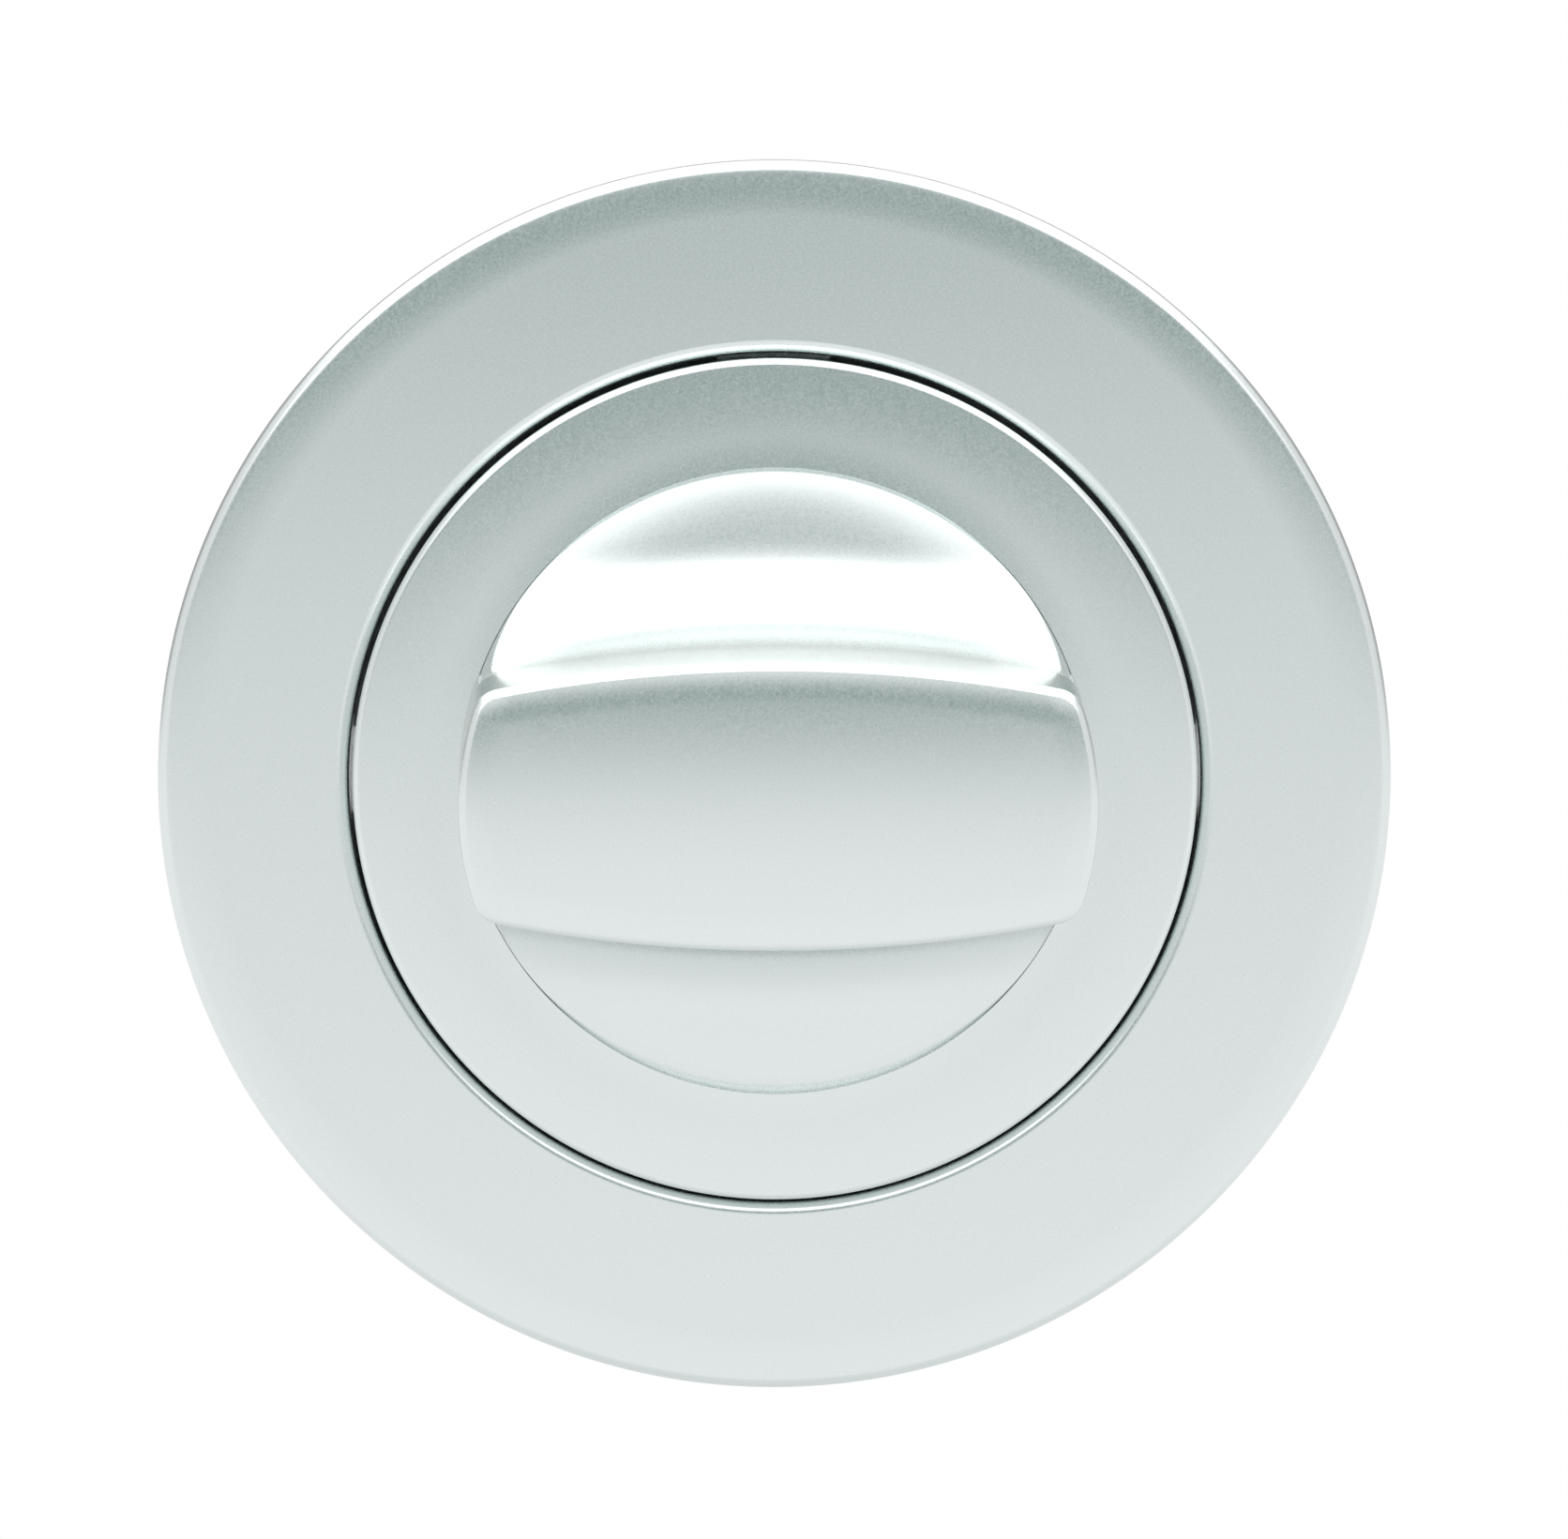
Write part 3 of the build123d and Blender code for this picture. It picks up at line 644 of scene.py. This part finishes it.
def release_quarter():
    """Rows of a quarter of the release's front, from the middle of the slot's floor to the rim's edge.

    One column of the straight side is moved to the 45 degree ray, for the corner of the square socket.
    """
    round_end = np.linspace(0, np.pi / 2, ROUND_COLUMNS)
    facing = np.concatenate([round_end, np.full(STRAIGHT_COLUMNS, np.pi / 2)])
    straight = np.linspace(SLOT_REACH, 0, STRAIGHT_COLUMNS + 1)[1:]
    straight[np.argmin(abs(straight - SLOT_HALF_WIDE - SLOT_LIP))] = SLOT_HALF_WIDE + SLOT_LIP
    along = np.concatenate([np.full(ROUND_COLUMNS, SLOT_REACH), straight])
    nx, ny = np.cos(facing), np.sin(facing)
    x, y = along + SLOT_HALF_WIDE * nx, SLOT_HALF_WIDE * ny
    t = np.concatenate([np.linspace(0, 0.9, 6), [0.98, 1.0]])[:, None]
    slot_floor = stack_rows(t * x, t * y, SLOT_FLOOR + 0 * t * x)
    tall = RIM_TOP - SLOT_LIP - SLOT_FLOOR
    up = SLOT_FLOOR + tall * np.array([0.02, 0.5, 0.98, 1.0])[:, None]
    wall = stack_rows(x + 0 * up, y + 0 * up, up + 0 * x)
    grow = SLOT_LIP * np.array([0.08, 0.92, 1.0])[:, None]
    lip_x, lip_y = along + (SLOT_HALF_WIDE + grow) * nx, (SLOT_HALF_WIDE + grow) * ny
    chamfer = stack_rows(lip_x, lip_y, RIM_TOP - SLOT_LIP + grow + 0 * lip_x)
    lip_r, turn = np.hypot(lip_x[-1], lip_y[-1]), np.arctan2(lip_y[-1], lip_x[-1])
    w = np.concatenate([[0.006], np.linspace(0.03, 1.0, 12)])[:, None]
    outer = RECESS_R + (rim_arc[0, 0] - RECESS_R) * np.linspace(0.04, 0.985, 12)[:, None]
    r = np.concatenate([lip_r + (RECESS_R - lip_r) * w, outer + 0 * lip_r])
    face = stack_rows(r * np.cos(turn), r * np.sin(turn), ring_height(r))
    return np.concatenate([slot_floor, wall, chamfer, face], 1), turn


release_front, release_turn = four_quarters(*release_quarter())
neck_z = np.linspace(STEM_END, RELEASE_NECK_END + NECK_EDGE, 6)[1:-1]
release_back = lathe(back_section(neck_z, RELEASE_NECK_END), release_turn)
release_socket = socket_rows(release_turn, RELEASE_NECK_END)
release_grid = np.concatenate([release_front, release_back, release_socket], 1)
release_sheets = [sheet_of(on_release_side(release_grid))]
release = make_piece("release_disc_casting", release_sheets, "turning_set", "satin_chrome", "release_disc")
satin_pieces.append(release)

# %% [markdown]
# ## The fixing bolts
# Between the inside plate and the sleeves a few millimetres of thread show. A thread is one ramp wound
# round the rod: the radius depends on the height and on the angle together, and one turn climbs by
# the pitch. It could be a spiral curve with a profile, but as a wave on the rod's own grid it needs no
# joining. The heads are slotted. Each head is a disc with two half-round blocks on it.

# %% threaded rod
BOLT_R, BOLT_HEAD_R, BOLT_HEAD_T, PLATE_T, FIX_R = 2.0, 3.0, 2.0, 2.6, 19.0
BOLT_TIP, PITCH, THREAD_DEEP, NOSE = -20.0, 0.7, 0.38, 0.4
THREAD_STOP, THREAD_FADE, SHANK_START = -0.3, 1.0, -0.25
FLANK, CREST_FLAT = 1.25, 0.1
BOLT_COLUMNS, ROWS_PER_PITCH = 48, 12
HEAD_MIDDLE, HEAD_TOP = PLATE_T + BOLT_HEAD_T / 2, PLATE_T + BOLT_HEAD_T


def bolt_shank():
    """Rod from its tip to the top of the head's disc, with a wave of one pitch per turn on its thread."""
    turn = evenly(BOLT_COLUMNS)
    thread_z = np.arange(BOLT_TIP, THREAD_STOP, PITCH / ROWS_PER_PITCH)
    wave = abs(((thread_z[None, :] / PITCH - turn[:, None] / (2 * np.pi)) % 1) * 2 - 1)
    wave = np.clip(FLANK * wave - CREST_FLAT, 0, 1)
    fade = np.clip((THREAD_STOP - thread_z) / THREAD_FADE, 0, 1)
    nose = np.clip(NOSE - (thread_z - BOLT_TIP), 0, None)
    thread_r = np.minimum(BOLT_R - THREAD_DEEP * wave * fade, BOLT_R - nose)
    line = section(
        run((BOLT_R, SHANK_START), (BOLT_R, PLATE_T), 2),
        run((BOLT_R, PLATE_T), (BOLT_HEAD_R, PLATE_T), 2),
        run((BOLT_HEAD_R, PLATE_T), (BOLT_HEAD_R, HEAD_MIDDLE), 2),
        run((BOLT_HEAD_R, HEAD_MIDDLE), (0, HEAD_MIDDLE), 2),
    )
    plain_r = np.tile(line[:, 0], (BOLT_COLUMNS, 1))
    r = np.concatenate([np.zeros((BOLT_COLUMNS, 1)), thread_r, plain_r], 1)
    z = np.concatenate([[BOLT_TIP], thread_z, line[:, 1]])
    a = turn[:, None]
    return np.stack([r * np.cos(a), r * np.sin(a), z + 0 * r], -1)


print("threads along the rod:", round((THREAD_STOP - BOLT_TIP) / PITCH, 1))

# %% slotted heads and both bolts
SLOT_HALF, HEAD_SOFT, HEAD_FOOT, BLOCK_REACH = 0.45, 0.3, 0.02, 1.6
ROUND_POINTS, FLAT_POINTS, SOFT_POINTS = 40, 24, 7


def head_block(sign):
    """Half-round block beside the slot: its plan scaled about a middle point, from the disc to a soft top."""
    start = math.asin(SLOT_HALF / BOLT_HEAD_R)
    a = np.linspace(start, np.pi - start, ROUND_POINTS)
    plan = np.stack([BOLT_HEAD_R * np.cos(a), BOLT_HEAD_R * np.sin(a)], -1)
    flat = np.linspace(plan[-1], plan[0], FLAT_POINTS)[1:-1]
    plan = np.concatenate([plan, flat])
    middle = np.array([0, 0.5 * (SLOT_HALF + BOLT_HEAD_R)])
    turn = np.radians(np.linspace(0, 90, SOFT_POINTS))
    inset = np.concatenate([[BLOCK_REACH, 0, 0], HEAD_SOFT * (1 - np.cos(turn)), [BLOCK_REACH]])
    foot = [HEAD_MIDDLE, HEAD_MIDDLE, HEAD_MIDDLE + HEAD_FOOT]
    height = np.concatenate([foot, HEAD_TOP - HEAD_SOFT + HEAD_SOFT * np.sin(turn), [HEAD_TOP]])
    scale = np.clip(1 - inset / BLOCK_REACH, 0, 1)
    p = middle + (plan - middle)[:, None, :] * scale[None, :, None]
    block = np.concatenate([p, np.tile(height, (len(plan), 1))[..., None]], -1)
    return block * np.array([sign, sign, 1])


bolt_sheets = []
for side in (-1, 1):
    for grid in (bolt_shank(), head_block(1), head_block(-1)):
        bolt_sheets.append(sheet_of(on_turn_side(grid + np.array([0, side * FIX_R, 0]))))
bolts = make_piece("fixing_bolts_threaded", bolt_sheets, "fixed_set", "plated_steel", "fixing_bolts")

# %% [markdown]
# ## Grain of the metal
# The visible castings are satin chrome: a bright plate with a fine even grain that blurs what it
# mirrors. Each finish could have its own noise, but all of them need the same thing, so one node group
# makes the grain for every metal here. It gives a mottle, which moves the roughness and the tint a
# little, and a normal from a very low bump.

# %% grain group
GRAIN_DETAIL, GRAIN_ROUGHNESS, BUMP_DISTANCE = 2, 0.6, 2e-5


def grain_group():
    """Node group: fine noise in object space as a mottle from 0 to 1, and a bumped normal from it."""
    tree = bpy.data.node_groups.new("metal_grain", "ShaderNodeTree")
    for label, value in (("Grains per metre", 6000.0), ("Bump", 0.05)):
        socket = tree.interface.new_socket(label, in_out="INPUT", socket_type="NodeSocketFloat")
        socket.default_value = value
    tree.interface.new_socket("Mottle", in_out="OUTPUT", socket_type="NodeSocketFloat")
    tree.interface.new_socket("Normal", in_out="OUTPUT", socket_type="NodeSocketVector")
    given = tree.nodes.new("NodeGroupInput")
    result = tree.nodes.new("NodeGroupOutput")
    place = tree.nodes.new("ShaderNodeTexCoord")
    noise = tree.nodes.new("ShaderNodeTexNoise")
    noise.inputs["Detail"].default_value = GRAIN_DETAIL
    noise.inputs["Roughness"].default_value = GRAIN_ROUGHNESS
    bump = tree.nodes.new("ShaderNodeBump")
    bump.inputs["Distance"].default_value = BUMP_DISTANCE
    tree.links.new(place.outputs["Object"], noise.inputs["Vector"])
    tree.links.new(given.outputs["Grains per metre"], noise.inputs["Scale"])
    tree.links.new(given.outputs["Bump"], bump.inputs["Strength"])
    tree.links.new(noise.outputs["Fac"], bump.inputs["Height"])
    tree.links.new(noise.outputs["Fac"], result.inputs["Mottle"])
    tree.links.new(bump.outputs["Normal"], result.inputs["Normal"])
    return tree


grain = grain_group()
print("grain group:", len(grain.nodes), "nodes")

# %% [markdown]
# ## Where polishing reaches
# Polishing reaches the faces and edges of the knob but not the bottom of its finger hollows. They stay
# a little duller. The bar's walls lie flat on the wheel and come out smoother. Painting this by hand
# would need a picture. A second group finds both by place instead: the hollows near the axis and
# behind the height where the wall begins, the walls between that height and the top.

# %% masks by place
HOLLOW_EDGE = MM * np.array([RECESS_R - 0.1, RECESS_R + 0.05])
HOLLOW_TOP = -MM * np.array([BLEND_TOP - 1.5, BLEND_TOP + 1.0])
WALL_START = -MM * np.array([BLEND_TOP + 0.3, BLEND_TOP + 1.0])
WALL_STOP = -MM * np.array([BAR_TOP - 1.2, BAR_TOP - 0.6])


def eased(tree, value, start, stop):
    """Value that falls softly from 1 to 0 as its input goes from start to stop."""
    node = tree.nodes.new("ShaderNodeMapRange")
    node.interpolation_type = "SMOOTHSTEP"
    node.inputs["From Min"].default_value, node.inputs["From Max"].default_value = start, stop
    node.inputs["To Min"].default_value, node.inputs["To Max"].default_value = 1, 0
    tree.links.new(value, node.inputs["Value"])
    return node.outputs["Result"]


def combined(tree, operation, *values):
    """Result of a math node fed by one or two sockets."""
    node = tree.nodes.new("ShaderNodeMath")
    node.operation = operation
    for value, socket in zip(values, node.inputs):
        tree.links.new(value, socket)
    return node.outputs[0]


def polish_group():
    """Node group: a mask of the hollows and one of the bar's walls, 1 inside and 0 outside, eased."""
    tree = bpy.data.node_groups.new("finger_hollow", "ShaderNodeTree")
    tree.interface.new_socket("Hollow", in_out="OUTPUT", socket_type="NodeSocketFloat")
    tree.interface.new_socket("Wall", in_out="OUTPUT", socket_type="NodeSocketFloat")
    result = tree.nodes.new("NodeGroupOutput")
    place = tree.nodes.new("ShaderNodeTexCoord")
    flat = tree.nodes.new("ShaderNodeVectorMath")
    flat.operation = "MULTIPLY"
    flat.inputs[1].default_value = (1, 0, 1)
    from_axis = tree.nodes.new("ShaderNodeVectorMath")
    from_axis.operation = "LENGTH"
    axes = tree.nodes.new("ShaderNodeSeparateXYZ")
    tree.links.new(place.outputs["Object"], flat.inputs[0])
    tree.links.new(flat.outputs[0], from_axis.inputs[0])
    tree.links.new(place.outputs["Object"], axes.inputs[0])
    within = eased(tree, from_axis.outputs["Value"], *HOLLOW_EDGE)
    behind = eased(tree, axes.outputs["Y"], *HOLLOW_TOP)
    before_wall = eased(tree, axes.outputs["Y"], *WALL_START)
    below_top = eased(tree, axes.outputs["Y"], *WALL_STOP)
    tree.links.new(combined(tree, "MULTIPLY", within, behind), result.inputs["Hollow"])
    tree.links.new(combined(tree, "SUBTRACT", below_top, before_wall), result.inputs["Wall"])
    return tree


polish_masks = polish_group()
print("polish masks:", [socket.name for socket in polish_masks.interface.items_tree])

# %% [markdown]
# ## Finishes
# Satin chrome is on all that shows. Behind it are cast zinc plates, nylon bearings, dark spring steel
# for the clips and spring washers, plated steel for the spindle, bolts, sleeves and shims, and one
# black grub screw. Each could be built by hand, but they differ only in their numbers. So one function
# makes them all, from a row each.

# %% one finish
MOTTLE_FROM, MOTTLE_TO = 0.3, 0.7


def finish(name, dark, light, rough, metallic, grains, bump):
    """Principled material whose tint and roughness wander between two values with the grain."""
    mat = bpy.data.materials.new(name)
    mat.use_nodes = True
    tree = mat.node_tree
    shader = tree.nodes["Principled BSDF"]
    shader.inputs["Metallic"].default_value = metallic
    group = tree.nodes.new("ShaderNodeGroup")
    group.node_tree = grain
    group.inputs["Grains per metre"].default_value = grains
    group.inputs["Bump"].default_value = bump
    tint = tree.nodes.new("ShaderNodeValToRGB")
    first, last = tint.color_ramp.elements
    first.position, last.position = MOTTLE_FROM, MOTTLE_TO
    first.color, last.color = (*dark, 1), (*light, 1)
    spread = tree.nodes.new("ShaderNodeMapRange")
    spread.inputs["From Min"].default_value = MOTTLE_FROM
    spread.inputs["From Max"].default_value = MOTTLE_TO
    spread.inputs["To Min"].default_value, spread.inputs["To Max"].default_value = rough
    tree.links.new(group.outputs["Mottle"], tint.inputs["Fac"])
    tree.links.new(group.outputs["Mottle"], spread.inputs["Value"])
    tree.links.new(tint.outputs["Color"], shader.inputs["Base Color"])
    tree.links.new(spread.outputs["Result"], shader.inputs["Roughness"])
    tree.links.new(group.outputs["Normal"], shader.inputs["Normal"])
    return mat


# dark tint, light tint, least and most roughness, metallic, grains per metre, bump
FINISHES = {
    "satin_chrome": ((0.755, 0.805, 0.80), (0.785, 0.835, 0.83), (0.23, 0.28), 1, 9000, 0.012),
    "zinc_casting": ((0.36, 0.37, 0.38), (0.50, 0.51, 0.52), (0.42, 0.6), 1, 1800, 0.5),
    "nylon": ((0.74, 0.72, 0.65), (0.80, 0.78, 0.72), (0.4, 0.5), 0, 900, 0.1),
    "spring_steel": ((0.07, 0.07, 0.075), (0.14, 0.14, 0.15), (0.35, 0.5), 1, 2500, 0.3),
    "plated_steel": ((0.56, 0.59, 0.62), (0.68, 0.70, 0.72), (0.22, 0.36), 1, 1500, 0.1),
    "black_steel": ((0.02, 0.02, 0.022), (0.05, 0.05, 0.052), (0.3, 0.45), 1, 3000, 0.2),
}
finishes = {name: finish(name, *row) for name, row in FINISHES.items()}
knob_finish = finish("satin_chrome_knob", *FINISHES["satin_chrome"])
print("finishes:", sorted(finishes))

# %% [markdown]
# At a glancing angle the chrome in the photograph gives back a little less green and blue. The knob's
# own satin chrome also takes the two masks: duller in the hollows, smoother on the walls. That could
# be two materials on two sets of faces, but then a hard line would part them.

# %% satin chrome of the knob
CHROME_AT_A_GLANCE = (1, 0.97, 0.96, 1)
HOLLOW_DULLER, WALL_SMOOTHER = 0.03, -0.12


def vary_polish(mat, **extra):
    """Adds to the roughness of a finish in each part that the masks name, by that part's own amount."""
    tree = mat.node_tree
    rough = tree.nodes["Principled BSDF"].inputs["Roughness"]
    group = tree.nodes.new("ShaderNodeGroup")
    group.node_tree = polish_masks
    for part, amount in extra.items():
        add = tree.nodes.new("ShaderNodeMath")
        add.operation = "MULTIPLY_ADD"
        add.inputs[1].default_value = amount
        tree.links.new(group.outputs[part], add.inputs[0])
        tree.links.new(rough.links[0].from_socket, add.inputs[2])
        tree.links.new(add.outputs[0], rough)


for mat in (finishes["satin_chrome"], knob_finish):
    shader = mat.node_tree.nodes["Principled BSDF"]
    shader.inputs["Specular Tint"].default_value = CHROME_AT_A_GLANCE
vary_polish(knob_finish, Hollow=HOLLOW_DULLER, Wall=WALL_SMOOTHER)
print("the knob's roughness changes by", HOLLOW_DULLER, "in the hollows and", WALL_SMOOTHER, "on the walls")

# %% [markdown]
# The record names a finish for every solid, and the pieces drawn here take the same ones.

# %% a finish for every piece
slot_of = {s["node"]: s["material_slot"] for s in frame["record"]["subparts"]}
for name, obj in nodes.items():
    obj.data.materials.clear()
    obj.data.materials.append(finishes[slot_of[name]])
for obj in satin_pieces:
    obj.data.materials.append(finishes["satin_chrome"])
knob.data.materials.append(knob_finish)
bolts.data.materials.append(finishes["plated_steel"])
print("pieces with a finish:", len(nodes) + len(satin_pieces) + 2)

# %% [markdown]
# ## The table
# The set is photographed upright before white, over a white table. Satin metal shows little but what
# it mirrors, so the table is white to mirrored rays too, and its diffuse surface keeps the shadows.
# Close under the set it lies in the set's own shade. Lamps can't give that to a surface that is plain
# white to mirrored rays, so the shade is painted there, for those rays alone.

# %% floor
FLOOR_DROP, FLOOR_HALF = -0.05, 4.0
floor_mesh = bpy.data.meshes.new("floor")
corners = FLOOR_HALF * np.array([(-1, -1), (1, -1), (1, 1), (-1, 1)])
floor_mesh.from_pydata(np.c_[corners, np.full(4, FLOOR_DROP)], [], [(0, 1, 2, 3)])
floor = bpy.data.objects.new("floor", floor_mesh)
bpy.context.scene.collection.objects.link(floor)
print("the floor lies", round(-FLOOR_DROP / MM), "mm below the axis")

# %% white table
WHITE, TABLE_GREY, TABLE_SHADE = (1, 1, 1, 1), (0.8, 0.8, 0.8, 1), (0.83, 0.85, 0.85, 1)
SHADE_FULL, SHADE_GONE = 0.045, 0.085


def two_tones(tree, amount, start, stop):
    """Colour that goes from one to another as its input goes from 0 to 1."""
    node = tree.nodes.new("ShaderNodeValToRGB")
    node.color_ramp.elements[0].color, node.color_ramp.elements[1].color = start, stop
    tree.links.new(amount, node.inputs["Fac"])
    return node.outputs["Color"]


def mixed(tree, amount, first, second):
    """Mix of two shaders, all the first at 0 and all the second at 1."""
    node = tree.nodes.new("ShaderNodeMixShader")
    for socket, value in zip(node.inputs, (amount, first.outputs[0], second.outputs[0])):
        tree.links.new(value, socket)
    return node.outputs[0]


def white_table():
    """Diffuse grey, but white to camera, glossy and transmission rays, and shaded near the set."""
    mat = bpy.data.materials.new("white_table")
    mat.use_nodes = True
    tree = mat.node_tree
    tree.nodes.clear()
    plain = tree.nodes.new("ShaderNodeBsdfDiffuse")
    plain.inputs["Color"].default_value = TABLE_GREY
    glow = tree.nodes.new("ShaderNodeEmission")
    from_set = tree.nodes.new("ShaderNodeVectorMath")
    from_set.operation = "LENGTH"
    tree.links.new(tree.nodes.new("ShaderNodeTexCoord").outputs["Object"], from_set.inputs[0])
    ray = tree.nodes.new("ShaderNodeLightPath").outputs
    mirrored = eased(tree, ray["Is Camera Ray"], 0, 1)
    under_set = eased(tree, from_set.outputs["Value"], SHADE_FULL, SHADE_GONE)
    shade = combined(tree, "MULTIPLY", under_set, mirrored)
    tree.links.new(two_tones(tree, shade, WHITE, TABLE_SHADE), glow.inputs["Color"])
    seen = combined(tree, "MAXIMUM", ray["Is Camera Ray"], ray["Is Glossy Ray"])
    seen = combined(tree, "MAXIMUM", seen, ray["Is Transmission Ray"])
    out = tree.nodes.new("ShaderNodeOutputMaterial")
    tree.links.new(mixed(tree, seen, plain, glow), out.inputs["Surface"])
    return mat


floor_mesh.materials.append(white_table())
print("table:", floor_mesh.materials[0].name, "with", len(floor_mesh.materials[0].node_tree.nodes), "nodes")

# %% [markdown]
# ## The room
# Above the table's horizon the room is a plain pale grey. Straight ahead, where the photographer
# stands, it is darker, and faces that look a little up mirror that. The back of the room is dimmer: it
# draws the thin grey line round the rose against the white. A picture of a real room would bring its
# windows along. Three eased limits make the one patch that the metal shows. The camera itself sees
# white.

# %% room
ROOM_LIGHT, ROOM_DARK, BACK_OF_ROOM, BACK_FROM = (0.84, 0.84, 0.84, 1), (0.08, 0.17, 0.16, 1), 0.5, 0.5
DARK_UP_TO, DARK_IN_FRONT, DARK_TO_THE_SIDES = (0.13, 0.27), (-0.6, -0.1), (0.2, 0.6)


def room_world():
    """World that is white to the camera and otherwise grey, dark straight ahead and dimmer at the back."""
    world = bpy.data.worlds.new("room")
    world.use_nodes = True
    tree = world.node_tree
    tree.nodes.clear()
    way = tree.nodes.new("ShaderNodeSeparateXYZ")
    tree.links.new(tree.nodes.new("ShaderNodeTexCoord").outputs["Generated"], way.inputs[0])
    low_part = eased(tree, way.outputs["Z"], *DARK_UP_TO)
    front_part = eased(tree, way.outputs["Y"], *DARK_IN_FRONT)
    middle_part = eased(tree, combined(tree, "ABSOLUTE", way.outputs["X"]), *DARK_TO_THE_SIDES)
    ahead = combined(tree, "MULTIPLY", combined(tree, "MULTIPLY", low_part, front_part), middle_part)
    dim = tree.nodes.new("ShaderNodeMapRange")
    dim.inputs["From Max"].default_value = BACK_FROM
    dim.inputs["To Min"].default_value, dim.inputs["To Max"].default_value = 1, BACK_OF_ROOM
    tree.links.new(way.outputs["Y"], dim.inputs["Value"])
    grey = tree.nodes.new("ShaderNodeBackground")
    tree.links.new(dim.outputs["Result"], grey.inputs["Strength"])
    tree.links.new(two_tones(tree, ahead, ROOM_LIGHT, ROOM_DARK), grey.inputs["Color"])
    white = tree.nodes.new("ShaderNodeBackground")
    white.inputs["Color"].default_value = WHITE
    seen = tree.nodes.new("ShaderNodeLightPath").outputs["Is Camera Ray"]
    out = tree.nodes.new("ShaderNodeOutputWorld")
    tree.links.new(mixed(tree, seen, grey, white), out.inputs["Surface"])
    return world


bpy.context.scene.world = room_world()
print("room:", len(bpy.context.scene.world.node_tree.nodes), "nodes")

# %% [markdown]
# ## Lamps
# A softbox stands in front and above. Faces that look far up mirror it, which makes the white band in
# the upper hollow and the white lines on the edges. A broad light overhead fills the rest. Point lamps
# would be simpler, but satin metal shows them as spots.

# %% lamps
def softbox(name, place, target, wide, tall, watts):
    """Rectangular area lamp at a place, turned to a target."""
    lamp = bpy.data.lights.new(name, "AREA")
    lamp.shape = "RECTANGLE"
    lamp.size, lamp.size_y, lamp.energy = wide, tall, watts
    obj = bpy.data.objects.new(name, lamp)
    bpy.context.scene.collection.objects.link(obj)
    obj.location = place
    way = Vector(target) - Vector(place)
    obj.rotation_euler = way.to_track_quat("-Z", "Y").to_euler()
    print(f"{name}: {watts} W, {way.length:.2f} m away")


softbox("front_softbox", place=(0, -0.62, 0.50), target=(0, -0.01, 0), wide=1.2, tall=0.5, watts=2.5)
softbox("overhead", place=(0, 0.1, 0.6), target=(0, 0.1, 0), wide=1.4, tall=1.1, watts=4.4)

# %% [markdown]
# ## Camera
# The photograph looks straight at the rose from about a quarter of a metre away and a little above:
# the rings sit lower the nearer they are. The lens could be tried out by eye, but it follows from
# the rose's width in the picture.

# %% camera
IMAGE_WIDE, ROSE_HALF_PX, SHIFT_X_PX, SHIFT_Y_PX = 1672, 658.8, 9.4, 11.5
AWAY, RISE, SWING = 0.262, math.radians(5.5), math.radians(-0.7)
SENSOR_WIDE, CLIP_NEAR, CLIP_FAR = 36, 0.01, 20
back = Vector((math.sin(SWING) * math.cos(RISE), -math.cos(SWING) * math.cos(RISE), math.sin(RISE)))
camera = bpy.data.cameras.new("camera")
camera.sensor_width = SENSOR_WIDE
camera.lens = SENSOR_WIDE * AWAY / (IMAGE_WIDE * ROSE_R * MM / ROSE_HALF_PX)
camera.shift_x, camera.shift_y = SHIFT_X_PX / IMAGE_WIDE, SHIFT_Y_PX / IMAGE_WIDE
camera.clip_start, camera.clip_end = CLIP_NEAR, CLIP_FAR
eye = bpy.data.objects.new("camera", camera)
bpy.context.scene.collection.objects.link(eye)
eye.location = Vector((0, -ROSE_DEPTH * MM, 0)) + back * AWAY
eye.rotation_euler = (-back).to_track_quat("-Z", "Y").to_euler()
bpy.context.scene.camera = eye
bpy.context.scene.view_settings.view_transform = "Standard"
print("lens in mm:", round(camera.lens, 1))
